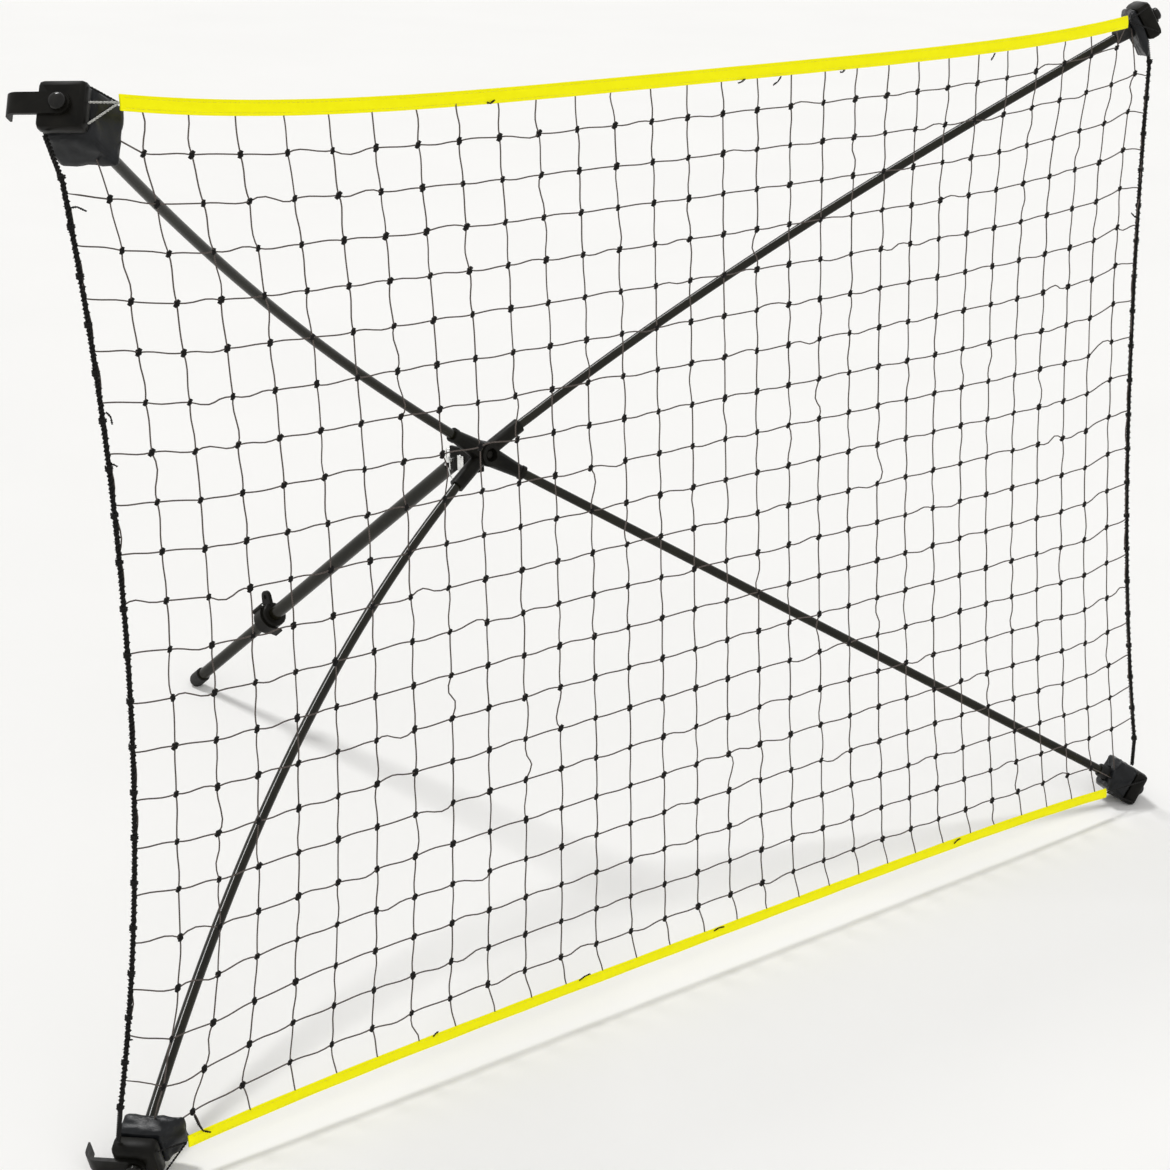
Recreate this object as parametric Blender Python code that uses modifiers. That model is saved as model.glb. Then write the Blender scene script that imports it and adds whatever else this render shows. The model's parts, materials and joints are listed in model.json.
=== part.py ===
"""A free-standing rebound net: a knotted net held open by four bowed rods from a rear hub, with a prop leg."""

import math

import bmesh
import bpy
import numpy as np
from mathutils import Matrix, Vector, geometry

COLLECTION = "rebound_net"

# Clearances
GAP = 0.0003
RUNNING_GAP = 0.00008

# How the frame stands
FLOOR_SPAN = 4.0
FLOOR_DEPTH = 1.0
LEAN = math.radians(6.4)
LEG_SLOPE = math.radians(40.3)

# Net
COLUMNS = 31
ROWS = 22
CORNER_CELLS = 2
STRAND = 0.0018
NET_DROP = 0.0086
COLUMN_REACH = 0.7754
COLUMN_FLARE = 0.0430
LEFT_REACH = 0.7570
RIGHT_REACH = 0.7510
SIDE_PAST_TIP = {"tl": 0.0350, "tr": 0.0030, "bl": 0.0480, "br": 0.0160}
ROW_REACH = 0.5100
ROW_FLARE = 0.0157
TOP_REACH = 0.4900
BOTTOM_REACH = 0.4859
EDGE_PAST_TIP = {"tl": 0.0260, "tr": 0.0237, "bl": -0.0101, "br": -0.0021}
SIDE_REACH = {-1: LEFT_REACH, 1: RIGHT_REACH}
EDGE_REACH = {-1: BOTTOM_REACH, 1: TOP_REACH}

# Border of the net
TOP_TAPE = 0.0150
BOTTOM_TAPE = 0.0125
TAPE_THICK = 0.0030
TAPE_HALF_LENGTH = 0.7260
ROPE_RADIUS = 0.0025
ROPE_HALF_LENGTH = 0.4450
TIE_RADIUS = 0.0011

# Corner mouldings, in axes at the rod's tip with +Z out along the rod
TIP_X = {"tl": 0.7670, "tr": 0.7760, "bl": 0.7670, "br": 0.7800}
TIP_Z = {"tl": 0.5040, "tr": 0.4896, "bl": 0.5120, "br": 0.5040}
BODY_WIDTH = 0.0460
BODY_HEIGHT = 0.0460
BODY_FRONT = 0.0140
BODY_BACK = 0.0060
BODY_ROUND = 0.0060
BODY_SOLE = 0.0059
UNIT_SLIP = {"tl": 0.0, "tr": 0.0080, "bl": 0.0, "br": 0.0180}
UNIT_RISE = {"tl": 0.0, "tr": 0.0020, "bl": 0.0, "br": 0.0}
KNOB_RISE = -0.0010
KNOB_RADIUS = 0.0080
KNOB_HEIGHT = 0.0070
KNOB_SHANK = 0.0025
KNOB_SHANK_DEPTH = 0.0045

# Swivel hooks
HOOK_ROOT_RADIUS = 0.0105
HOOK_WIDTH = 0.0200
HOOK_THICK = 0.0045
HOOK_TIP_THICK = 0.0020
HOOK_REACH = 0.0500
HOOK_BEND = 0.0100
HOOK_RETURN = 0.0090

# Boots over the rod ends
BOOT_DEPTH = {"tl": 0.0380, "tr": 0.0110, "bl": 0.0240, "br": 0.0300}
BOOT_HANG = {"tl": 0.0160, "tr": 0.0180, "bl": 0.0020, "br": 0.0020}
BOOT_SPREAD = {"tl": 0.0170, "tr": 0.0, "bl": 0.0200, "br": 0.0}
BOOT_TUCK = 0.0060
BOOT_ROUND = 0.0040

# Bowed rods
ROD_RADIUS = 0.00575
ROD_TIP_DEPTH = 0.0245
ROD_STEPS = 18
BOW = {"tl": 0.0793, "tr": 0.0407, "bl": 0.0707, "br": -0.0010}
BOW_SKEW = {"tl": 0.19, "tr": 0.19, "bl": 0.14, "br": 0.0}
FERRULE_RADIUS = 0.0105
FERRULE_MOUTH = 0.0088
FERRULE_LENGTH = 0.0380
FERRULE_CAP = 0.0080

# Hub
HUB_DEPTH = 0.3910
HUB_RISE = 0.0150
DRUM_RADIUS = 0.0150
DRUM_FRONT = 0.0120
DRUM_BACK = 0.0150
BOSS_RADIUS = 0.0130
BOSS_HEIGHT = 0.0030
BOSS_RECESS = 0.0085
BOSS_RECESS_DEPTH = 0.0080
SOCKET_RADIUS = 0.0092
SOCKET_END = 0.0570
SOCKET_FLOOR = 0.0220
WEB_ROOT_RADIUS = 0.0135
WEB_TIP_RADIUS = 0.0080
WEB_RING_LENGTH = 0.0050
BOLT_RADIUS = 0.0030
BOLT_HEAD_RADIUS = 0.0060
BOLT_HEAD = 0.0040
NUT_RADIUS = 0.0062
NUT_LENGTH = 0.0050

# Rear bracket and its pin
BRACKET_BASE = 0.0050
BRACKET_HEIGHT = 0.0340
BRACKET_DROP = 0.0100
EAR_THICK = 0.0040
EAR_ABOVE = 0.0160
EAR_BELOW = 0.0130
EAR_BEHIND = 0.0060
EYE_THICK = 0.0160
PIN_RADIUS = 0.0032
PIN_HEAD_RADIUS = 0.0058
PIN_HEAD = 0.0030
PIN_TAIL = 0.0090
CLIP_WIRE = 0.0011
CLIP_BEND = 0.0034
CLIP_UP = 0.0100
CLIP_DOWN = 0.0120
TETHER_WIRE = 0.0009
TETHER_DROP = 0.0110
TETHER_STEPS = 14
KEEPER_WIDTH = 0.0115
KEEPER_HEIGHT = 0.0190
KEEPER_THICK = 0.0012
KEEPER_AHEAD = 0.0160
KEEPER_DROP = 0.0030
RIVET_RADIUS = 0.0028
RIVET_HEIGHT = 0.0030

# Leg, in axes at its pivot with +Z along the leg
PIVOT_BEHIND = 0.0450
PIVOT_RISE = -0.0117
EYE_RADIUS = 0.0105
EYE_NECK = 0.0240
EYE_PLUG = 0.0260
UPPER_RADIUS = 0.00925
UPPER_WALL = 0.0008
CLAMP_AT = 0.5142
LOWER_RADIUS = 0.00805
LOWER_WALL = 0.0012
LOWER_NESTED = 0.2200
BUSH_LENGTH = 0.0160
FOOT_RADIUS = 0.0105
FOOT_LENGTH = 0.0300
FOOT_FLOOR = 0.0050
FOOT_SOLE = 0.0008

# Clamp on the leg
CLAMP_RADIUS = 0.0170
CLAMP_LENGTH = 0.0320
CLAMP_LIP = 0.0030
TAB_THICK = 0.0050
TAB_RADIUS = 0.0085
TAB_REACH = 0.0270
TAB_SHIFT = 0.0120
TAB_BASE = 0.0130
TAB_HOLE = 0.0033
LEVER_THICK = 0.0026
LEVER_WIDTH = 0.0190
LEVER_START = math.radians(235.0)
LEVER_SWEEP = math.radians(-140.0)
LEVER_TONGUE = 0.0080
LEVER_STEPS = 12
HINGE_RADIUS = 0.0030
HINGE_PIN = 0.0013
HINGE_CHEEK = 0.0030

# Values that follow from those above
HUB = Vector((0.0, HUB_DEPTH, HUB_RISE))
PIVOT = HUB + Vector((0.0, PIVOT_BEHIND, PIVOT_RISE))
EAR_GAP = EYE_THICK + 2 * GAP
EAR_OUTSIDE = EAR_GAP / 2 + EAR_THICK
EYE_START = math.hypot(EAR_BEHIND, max(EAR_ABOVE, EAR_BELOW)) + 2 * GAP
UPPER_BORE = UPPER_RADIUS - UPPER_WALL
CLAMP_LOW = CLAMP_AT - CLAMP_LENGTH / 2
CLAMP_HIGH = CLAMP_AT + CLAMP_LENGTH / 2
UP = Vector((0.0, 0.0, 1.0))
RIGHT = Vector((1.0, 0.0, 0.0))
FRONT = Vector((0.0, -1.0, 0.0))

CORNERS = {"tl": (-1, 1), "tr": (1, 1), "bl": (-1, -1), "br": (1, -1)}
BLACK_NYLON = ((0.030, 0.032, 0.030), 0.42, 0.0)
SATIN_ROD = ((0.052, 0.050, 0.042), 0.30, 0.0)
VINYL = ((0.022, 0.024, 0.025), 0.35, 0.0)
TWINE = ((0.020, 0.020, 0.020), 0.80, 0.0)
TAPE_YELLOW = ((0.95, 0.90, 0.0), 0.60, 0.0)
RUBBER = ((0.022, 0.022, 0.022), 0.70, 0.0)
ZINC = ((0.78, 0.78, 0.76), 0.25, 1.0)


def clear_scene():
    for item in list(bpy.data.objects):
        bpy.data.objects.remove(item)


def make_collection(name):
    made = bpy.data.collections.new(name)
    bpy.context.scene.collection.children.link(made)
    return made


def give_material(item, look):
    colour, roughness, metallic = look
    material = bpy.data.materials.new(item.name)
    material.use_nodes = True
    shader = material.node_tree.nodes["Principled BSDF"]
    shader.inputs["Base Color"].default_value = (*colour, 1.0)
    shader.inputs["Roughness"].default_value = roughness
    shader.inputs["Metallic"].default_value = metallic
    item.data.materials.append(material)


def add_object(name, data, parent, look, place=None):
    """An object placed in its parent's axes. Without a look it is a helper that stays out of the part."""
    item = bpy.data.objects.new(name, data)
    if look:
        parts.objects.link(item)
        give_material(item, look)
    else:
        helpers.objects.link(item)
        item.hide_render = True
        item.display_type = "WIRE"
    item.parent = parent
    item.matrix_basis = place or Matrix.Identity(4)
    return item


def add_empty(name, parent, place):
    item = bpy.data.objects.new(name, None)
    parts.objects.link(item)
    item.empty_display_size = 0.02
    item.parent = parent
    item.matrix_basis = place
    return item


def smooth(item, angle=35.0):
    """Round surfaces shade smoothly, and edges sharper than the angle stay crisp."""
    item.data.shade_smooth()
    item.data.set_sharp_from_angle(angle=math.radians(angle))


def round_edges(item, width):
    bevel = item.modifiers.new("round", "BEVEL")
    bevel.width = width
    bevel.segments = 2
    bevel.limit_method = "ANGLE"


def cut(item, cutter):
    boolean = item.modifiers.new("cut", "BOOLEAN")
    boolean.operation = "DIFFERENCE"
    boolean.object = cutter


def join(item, other):
    boolean = item.modifiers.new("join", "BOOLEAN")
    boolean.operation = "UNION"
    boolean.object = other


def along(start, direction, across=UP):
    """Axes with +Z along the direction and +X as near to across as it can be."""
    z = Vector(direction).normalized()
    x = (across - z * across.dot(z)).normalized()
    axes = Matrix((x, z.cross(x), z)).transposed().to_4x4()
    return Matrix.Translation(start) @ axes


def moved(x, y, z):
    return Matrix.Translation((x, y, z))


def block(name, parent, look, size, place):
    mesh = bpy.data.meshes.new(name)
    shape = bmesh.new()
    bmesh.ops.create_cube(shape, size=1.0)
    bmesh.ops.scale(shape, vec=size, verts=shape.verts)
    shape.to_mesh(mesh)
    shape.free()
    return add_object(name, mesh, parent, look, place)


def turned(name, parent, look, profile, place=None, closed=False, steps=20):
    """A solid turned about Z from (radius, height) points that run down its outer side."""
    mesh = bpy.data.meshes.new(name)
    shape = bmesh.new()
    points = [shape.verts.new((radius, 0.0, height)) for radius, height in profile]
    for first, second in zip(points, points[1:]):
        shape.edges.new((first, second))
    if closed:
        shape.edges.new((points[-1], points[0]))
    shape.to_mesh(mesh)
    shape.free()
    item = add_object(name, mesh, parent, look, place)
    screw = item.modifiers.new("turn", "SCREW")
    screw.angle = math.tau
    screw.steps = steps
    screw.render_steps = steps
    screw.use_merge_vertices = True
    screw.merge_threshold = 0.00001
    screw.use_smooth_shade = False
    return item


def rod(name, parent, look, radius, low, high, place=None, steps=20):
    profile = [(0.0, high), (radius, high), (radius, low), (0.0, low)]
    return turned(name, parent, look, profile, place, steps=steps)


def tube(name, parent, look, outer, inner, low, high, place=None, steps=20):
    profile = [(outer, high), (outer, low), (inner, low), (inner, high)]
    return turned(name, parent, look, profile, place, closed=True, steps=steps)


def wire(name, parent, look, points, radius, place=None, resolution=2):
    curve = bpy.data.curves.new(name, "CURVE")
    curve.dimensions = "3D"
    curve.bevel_depth = radius
    curve.bevel_resolution = resolution
    curve.use_fill_caps = True
    spline = curve.splines.new("POLY")
    spline.points.add(len(points) - 1)
    for slot, point in zip(spline.points, points):
        slot.co = (*point, 1.0)
    return add_object(name, curve, parent, look, place)


def plate(name, parent, look, outline, thickness, place=None):
    """A prism: an outline in the XY plane, with its thickness shared to both sides of that plane."""
    mesh = bpy.data.meshes.new(name)
    shape = bmesh.new()
    low = [shape.verts.new((x, y, -thickness / 2)) for x, y in outline]
    high = [shape.verts.new((x, y, thickness / 2)) for x, y in outline]
    shape.faces.new(low)
    shape.faces.new(high)
    for number in range(len(outline)):
        following = (number + 1) % len(outline)
        shape.faces.new((low[number], low[following], high[following], high[number]))
    bmesh.ops.recalc_face_normals(shape, faces=shape.faces)
    shape.to_mesh(mesh)
    shape.free()
    return add_object(name, mesh, parent, look, place)


def net_point(u, v, side_inset=0.0, edge_inset=0.0):
    """A point of the net, from -1 to 1 across and up. Its sides and edges bow in between the corners."""
    side = 1 if u > 0 else -1
    up = 1 if v > 0 else -1
    corner = corner_at(side, up)
    side_flare = TIP_X[corner] + SIDE_PAST_TIP[corner] - SIDE_REACH[side]
    edge_flare = TIP_Z[corner] + EDGE_PAST_TIP[corner] - EDGE_REACH[up]
    inside = (1 - u * u) * (COLUMN_REACH + COLUMN_FLARE * v * v)
    half_width = inside + u * u * (SIDE_REACH[side] + side_flare * v * v - side_inset)
    edge = EDGE_REACH[up] + edge_flare * u ** 4
    inside = (1 - v * v) * (ROW_REACH + ROW_FLARE * u * u)
    half_height = inside + v * v * (edge - edge_inset)
    return Vector((u * half_width, 0.0, v * half_height - NET_DROP))


def share_where(reaches):
    """The share from 0 to 1 at which a rising test first holds, by halving."""
    low, high = 0.0, 1.0
    for _ in range(30):
        middle = (low + high) / 2
        if reaches(middle):
            high = middle
        else:
            low = middle
    return low


def build_net(frame):
    """Square cells of twine inside the tapes and ropes, left out where the corner mouldings sit."""
    mesh = bpy.data.meshes.new("net_mesh")
    shape = bmesh.new()
    bmesh.ops.create_grid(shape, x_segments=COLUMNS, y_segments=ROWS, size=1.0)
    across_limit = 1 - 2 * CORNER_CELLS / COLUMNS
    up_limit = 1 - 2 * CORNER_CELLS / ROWS
    corners = []
    for face in shape.faces:
        middle = face.calc_center_median()
        if abs(middle.x) > across_limit and abs(middle.y) > up_limit:
            corners.append(face)
    bmesh.ops.delete(shape, geom=corners, context="FACES")
    side_inset = ROPE_RADIUS + STRAND + GAP
    for vertex in shape.verts:
        tape = TOP_TAPE if vertex.co.y > 0 else BOTTOM_TAPE
        vertex.co = net_point(vertex.co.x, vertex.co.y, side_inset, tape / 2 + STRAND + GAP)
    shape.to_mesh(mesh)
    shape.free()
    net = add_object("net_mesh", mesh, frame, TWINE)
    strands = net.modifiers.new("strands", "WIREFRAME")
    strands.thickness = STRAND
    strands.use_even_offset = False
    strands.use_boundary = True


def tape_end(side, up):
    """How far across the net its tape reaches on one side, as a share."""
    return share_where(lambda share: abs(net_point(side * share, up).x) > TAPE_HALF_LENGTH)


def rope_end(side, up):
    """How far up or down the net its side rope keeps to the edge, as a share."""
    return share_where(lambda share: abs(net_point(side, up * share).z) > ROPE_HALF_LENGTH)


def build_tape(name, up, width, frame):
    mesh = bpy.data.meshes.new(name)
    shape = bmesh.new()
    bmesh.ops.create_grid(shape, x_segments=COLUMNS, y_segments=1, size=1.0)
    ends = {side: tape_end(side, up) for side in (-1, 1)}
    for vertex in shape.verts:
        side = 1 if vertex.co.x > 0 else -1
        middle = net_point(vertex.co.x * ends[side], up)
        vertex.co = middle + UP * vertex.co.y * width / 2
    shape.to_mesh(mesh)
    shape.free()
    tape = add_object(name, mesh, frame, TAPE_YELLOW)
    solid = tape.modifiers.new("thickness", "SOLIDIFY")
    solid.thickness = TAPE_THICK
    solid.offset = 0.0


def rope_lead(side, up):
    """Where a side rope's end is tucked under the corner moulding, in frame coordinates."""
    under = -up * (BODY_HEIGHT / 2 + ROPE_RADIUS + GAP)
    return unit_axes(side, up) @ Vector((side * BODY_WIDTH / 3, under, BODY_BACK / 2))


def build_edge_rope(name, side, frame):
    """The rope down one side of the net, with both ends led to the corner mouldings."""
    low = -rope_end(side, -1)
    high = rope_end(side, 1)
    points = [rope_lead(side, -1)]
    points += [net_point(side, low + (high - low) * step / ROWS) for step in range(ROWS + 1)]
    points.append(rope_lead(side, 1))
    wire(name, frame, TWINE, points, ROPE_RADIUS)


def corner_at(side, up):
    return next(name for name, place in CORNERS.items() if place == (side, up))


def rod_point(side, up, share):
    """A point on a rod's centre line, from the hub's centre (0) to its tip (1)."""
    corner = corner_at(side, up)
    tip = Vector((side * TIP_X[corner], ROD_TIP_DEPTH, up * TIP_Z[corner]))
    bow = BOW[corner] * 4 * share * (1 - share) * (1 + BOW_SKEW[corner] * (1 - 2 * share))
    return HUB.lerp(tip, share) + Vector((0.0, bow, 0.0))


def rod_start(side, up):
    """Axes at the hub's centre with +Z out along the rod."""
    return along(HUB, rod_point(side, up, 0.02) - HUB)


def rod_end(side, up):
    """Axes at the rod's tip with +Z out of its end, +X level and +Y upward."""
    tip = rod_point(side, up, 1.0)
    direction = tip - rod_point(side, up, 0.97)
    return along(tip, direction, Vector((-direction.y, direction.x, 0.0)))


def unit_axes(side, up):
    """Axes of a corner's fittings: those of the rod's end, slipped out along it and away from the middle."""
    corner = corner_at(side, up)
    return rod_end(side, up) @ moved(0.0, up * UNIT_RISE[corner], UNIT_SLIP[corner])


def build_rod(corner, side, up, frame):
    """A rod from inside its hub socket to the end of its ferrule's bore. Both ends are straight."""
    start = rod_start(side, up)
    end = rod_end(side, up)
    length = (rod_point(side, up, 1.0) - HUB).length
    leave = SOCKET_END / length
    arrive = 1.0 - (FERRULE_LENGTH - FERRULE_CAP) / length
    points = [start @ Vector((0.0, 0.0, SOCKET_FLOOR + GAP)), start @ Vector((0.0, 0.0, SOCKET_END))]
    for step in range(1, ROD_STEPS):
        points.append(rod_point(side, up, leave + (arrive - leave) * step / ROD_STEPS))
    points += [end @ Vector((0.0, 0.0, FERRULE_CAP - FERRULE_LENGTH)), end @ Vector((0.0, 0.0, 0.0))]
    wire("rod_" + corner, frame, SATIN_ROD, points, ROD_RADIUS)


def build_ferrule(corner, side, up, frame):
    """A rubber sleeve with a domed end, pushed over the rod's tip."""
    bore = ROD_RADIUS + GAP
    mouth = FERRULE_CAP - FERRULE_LENGTH
    profile = [(0.0, FERRULE_CAP), (FERRULE_RADIUS * 0.6, FERRULE_CAP * 0.85)]
    profile += [(FERRULE_RADIUS * 0.9, FERRULE_CAP * 0.45), (FERRULE_RADIUS, 0.0), (FERRULE_MOUTH, mouth)]
    profile += [(bore, mouth), (bore, GAP), (0.0, GAP)]
    item = turned("ferrule_" + corner, frame, RUBBER, profile, rod_end(side, up), steps=16)
    smooth(item)


def build_corner(corner, side, up, frame):
    """One corner moulding with its knob, swivel hook, boot, ferrule and tape tie."""
    build_ferrule(corner, side, up, frame)
    unit = add_empty("corner_" + corner, frame, unit_axes(side, up))
    room = FERRULE_RADIUS + GAP
    channel = rod("channel_" + corner, frame, None, room, -0.2, FERRULE_CAP + GAP, rod_end(side, up), steps=16)
    depth = BODY_FRONT + BODY_BACK
    place = moved(0.0, 0.0, (BODY_FRONT - BODY_BACK) / 2)
    body = block("corner_body_" + corner, unit, BLACK_NYLON, (BODY_WIDTH, BODY_HEIGHT, depth), place)
    round_edges(body, BODY_ROUND)
    if FERRULE_CAP + GAP > UNIT_SLIP[corner] - BODY_BACK:
        cut(body, channel)
    if up < 0:
        cut(body, floor)
    build_boot(corner, side, up, unit, channel)
    build_hook(corner, side, up, unit)
    build_knob(corner, up, unit, body)
    build_tie(corner, side, up, frame)


def build_boot(corner, side, up, unit, channel):
    """The soft boot behind the moulding, spreading towards its open mouth round the rod."""
    near = -BODY_BACK - GAP
    mouth = near - BOOT_DEPTH[corner]
    half_width = BODY_WIDTH / 2
    half_height = BODY_HEIGHT / 2
    inner = -side * (half_width + BOOT_SPREAD[corner])
    outer = side * (half_width - BOOT_TUCK)
    low = -up * (half_height + BOOT_HANG[corner])
    high = up * (half_height - BOOT_TUCK)
    mesh = bpy.data.meshes.new("boot_" + corner)
    shape = bmesh.new()
    start = [(-side * half_width, -up * half_height), (side * half_width, -up * half_height)]
    start += [(side * half_width, up * half_height), (-side * half_width, up * half_height)]
    finish = [(inner, low), (outer, low), (outer, high), (inner, high)]
    front = [shape.verts.new((x, y, near)) for x, y in start]
    back = [shape.verts.new((x, y, mouth)) for x, y in finish]
    shape.faces.new(front)
    shape.faces.new(back)
    for number in range(4):
        following = (number + 1) % 4
        shape.faces.new((front[number], front[following], back[following], back[number]))
    bmesh.ops.recalc_face_normals(shape, faces=shape.faces)
    shape.to_mesh(mesh)
    shape.free()
    boot = add_object("boot_" + corner, mesh, unit, VINYL)
    round_edges(boot, BOOT_ROUND)
    cut(boot, channel)


def hook_outline():
    """The hook's side view, out along +X from its axis and then back along -Y, thinning to its tip."""
    middle = [(0.0, HOOK_THICK / 2, 0.0), (HOOK_REACH - HOOK_BEND, HOOK_THICK / 2, 0.0)]
    for step in range(1, 6):
        turn = math.radians(90.0) * step / 5
        x = HOOK_REACH - HOOK_BEND + HOOK_BEND * math.sin(turn)
        y = HOOK_THICK / 2 - HOOK_BEND * (1 - math.cos(turn))
        middle.append((x, y, turn))
    x, y, turn = middle[-1]
    middle.append((x, y - HOOK_RETURN, turn))
    inner, outer = [], []
    for number, (x, y, turn) in enumerate(middle):
        share = number / (len(middle) - 1)
        half = (HOOK_THICK + (HOOK_TIP_THICK - HOOK_THICK) * share) / 2
        inner.append((x - math.sin(turn) * half, y - math.cos(turn) * half))
        outer.append((x + math.sin(turn) * half, y + math.cos(turn) * half))
    return inner + outer[::-1]


def build_hook(corner, side, up, unit):
    """A flat J hook that turns on the knob's shank, in front of the moulding."""
    face = BODY_FRONT + GAP
    axis = add_empty("hook_axis_" + corner, unit, moved(0.0, up * KNOB_RISE, face))
    root = rod("hook_" + corner, axis, BLACK_NYLON, HOOK_ROOT_RADIUS, 0.0, HOOK_THICK, steps=16)
    blade_place = along(Vector(), (0.0, side * -1.0, 0.0), Vector((side, 0.0, 0.0)))
    blade = plate("hook_blade_" + corner, axis, None, hook_outline(), HOOK_WIDTH, blade_place)
    join(root, blade)
    cut(root, rod("hook_bore_" + corner, axis, None, KNOB_SHANK + RUNNING_GAP, -0.02, 0.02, steps=16))
    smooth(root)


def build_knob(corner, up, unit, body):
    """The round screw head over the hook, on a shank that goes into the moulding."""
    place = moved(0.0, up * KNOB_RISE, BODY_FRONT + HOOK_THICK + 2 * GAP)
    tail = -HOOK_THICK - 2 * GAP - KNOB_SHANK_DEPTH
    profile = [(0.0, KNOB_HEIGHT), (KNOB_RADIUS * 0.55, KNOB_HEIGHT * 0.95), (KNOB_RADIUS * 0.88, KNOB_HEIGHT * 0.80)]
    profile += [(KNOB_RADIUS, KNOB_HEIGHT * 0.55), (KNOB_RADIUS, 0.0), (KNOB_SHANK, 0.0)]
    profile += [(KNOB_SHANK, tail), (0.0, tail)]
    knob = turned("knob_" + corner, unit, BLACK_NYLON, profile, place, steps=16)
    smooth(knob)
    cut(body, rod("knob_bore_" + corner, unit, None, KNOB_SHANK + GAP, tail - GAP, 0.01, place, steps=16))


def build_tie(corner, side, up, frame):
    """Cord from the end of the tape to the outer and inner corners of the moulding's near face."""
    axes = unit_axes(side, up)
    beside = -side * (BODY_WIDTH / 2 + TIE_RADIUS + GAP)
    rise = BODY_HEIGHT / 2 - BODY_ROUND
    far = axes @ Vector((beside, up * rise, BODY_FRONT - BODY_ROUND))
    near = axes @ Vector((beside, -up * rise, BODY_FRONT - BODY_ROUND))
    eyelet = net_point(side * tape_end(side, up), up)
    eyelet.x += side * (TIE_RADIUS + 2 * GAP)
    wire("tie_" + corner, frame, TWINE, [far, eyelet, near], TIE_RADIUS, resolution=1)


def build_hub(frame):
    """The hub: a drum with a front boss, two plain sockets and two webbed ones."""
    axes = along(HUB, FRONT)
    hub = rod("hub_body", frame, BLACK_NYLON, DRUM_RADIUS, -DRUM_BACK, DRUM_FRONT, axes, steps=24)
    join(hub, rod("hub_boss", frame, None, BOSS_RADIUS, 0.0, DRUM_FRONT + BOSS_HEIGHT, axes, steps=24))
    for corner, (side, up) in CORNERS.items():
        if side == up:
            profile = [(0.0, SOCKET_END), (SOCKET_RADIUS, SOCKET_END), (SOCKET_RADIUS, 0.0), (0.0, 0.0)]
        else:
            ring = SOCKET_END - WEB_RING_LENGTH
            profile = [(0.0, SOCKET_END), (SOCKET_RADIUS, SOCKET_END), (SOCKET_RADIUS, ring)]
            profile += [(WEB_TIP_RADIUS, ring), (WEB_ROOT_RADIUS, 0.0), (0.0, 0.0)]
        join(hub, turned("socket_" + corner, frame, None, profile, rod_start(side, up), steps=16))
    for corner, (side, up) in CORNERS.items():
        bore = ROD_RADIUS + GAP
        cut(hub, rod("socket_bore_" + corner, frame, None, bore, SOCKET_FLOOR, 0.2, rod_start(side, up), steps=12))
    cut(hub, rod("bolt_bore", frame, None, BOLT_RADIUS + GAP, -0.1, 0.1, axes, steps=12))
    recess = DRUM_FRONT + BOSS_HEIGHT - BOSS_RECESS_DEPTH
    cut(hub, rod("boss_recess", frame, None, BOSS_RECESS, recess, 0.1, axes, steps=20))
    smooth(hub)
    build_hub_bolt(frame, axes, recess)


def build_hub_bolt(frame, axes, recess):
    """The bolt through the hub and the bracket's base, with its nut behind."""
    seat = -DRUM_BACK - BRACKET_BASE - 2 * GAP
    head = recess + GAP
    tail = seat - NUT_LENGTH - BOLT_RADIUS
    profile = [(0.0, head + BOLT_HEAD), (BOLT_HEAD_RADIUS * 0.7, head + BOLT_HEAD)]
    profile += [(BOLT_HEAD_RADIUS, head + BOLT_HEAD * 0.5), (BOLT_HEAD_RADIUS, head)]
    profile += [(BOLT_RADIUS, head), (BOLT_RADIUS, tail), (0.0, tail)]
    bolt = turned("hub_bolt", frame, BLACK_NYLON, profile, axes, steps=12)
    smooth(bolt)
    nut = rod("hub_nut", frame, ZINC, NUT_RADIUS, seat - NUT_LENGTH, seat, axes, steps=6)
    cut(nut, rod("nut_bore", frame, None, BOLT_RADIUS + GAP, -0.1, 0.1, axes, steps=12))


def build_bracket(frame):
    """The rear bracket: a base against the drum and two ears that hold the leg's pin."""
    front = HUB_DEPTH + DRUM_BACK + GAP
    size = (2 * EAR_OUTSIDE, BRACKET_BASE, BRACKET_HEIGHT)
    base_place = moved(0.0, front + BRACKET_BASE / 2, HUB_RISE - BRACKET_DROP)
    bracket = block("leg_bracket", frame, BLACK_NYLON, size, base_place)
    ear_front = front + BRACKET_BASE / 2
    reach = PIVOT.y + EAR_BEHIND - ear_front
    ear_size = (EAR_THICK, reach, EAR_ABOVE + EAR_BELOW)
    ear_middle = PIVOT.z + (EAR_ABOVE - EAR_BELOW) / 2
    for side in (-1, 1):
        x = side * (EAR_GAP + EAR_THICK) / 2
        join(bracket, block(f"ear_{side}", frame, None, ear_size, moved(x, ear_front + reach / 2, ear_middle)))
    bore = PIN_RADIUS + RUNNING_GAP
    cut(bracket, rod("pin_bore", frame, None, bore, -0.1, 0.1, along(PIVOT, RIGHT), steps=16))
    bolt_bore = BOLT_RADIUS + GAP
    cut(bracket, rod("bracket_bolt_bore", frame, None, bolt_bore, -BRACKET_HEIGHT, 0.0, along(HUB, FRONT), steps=12))
    smooth(bracket)


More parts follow.
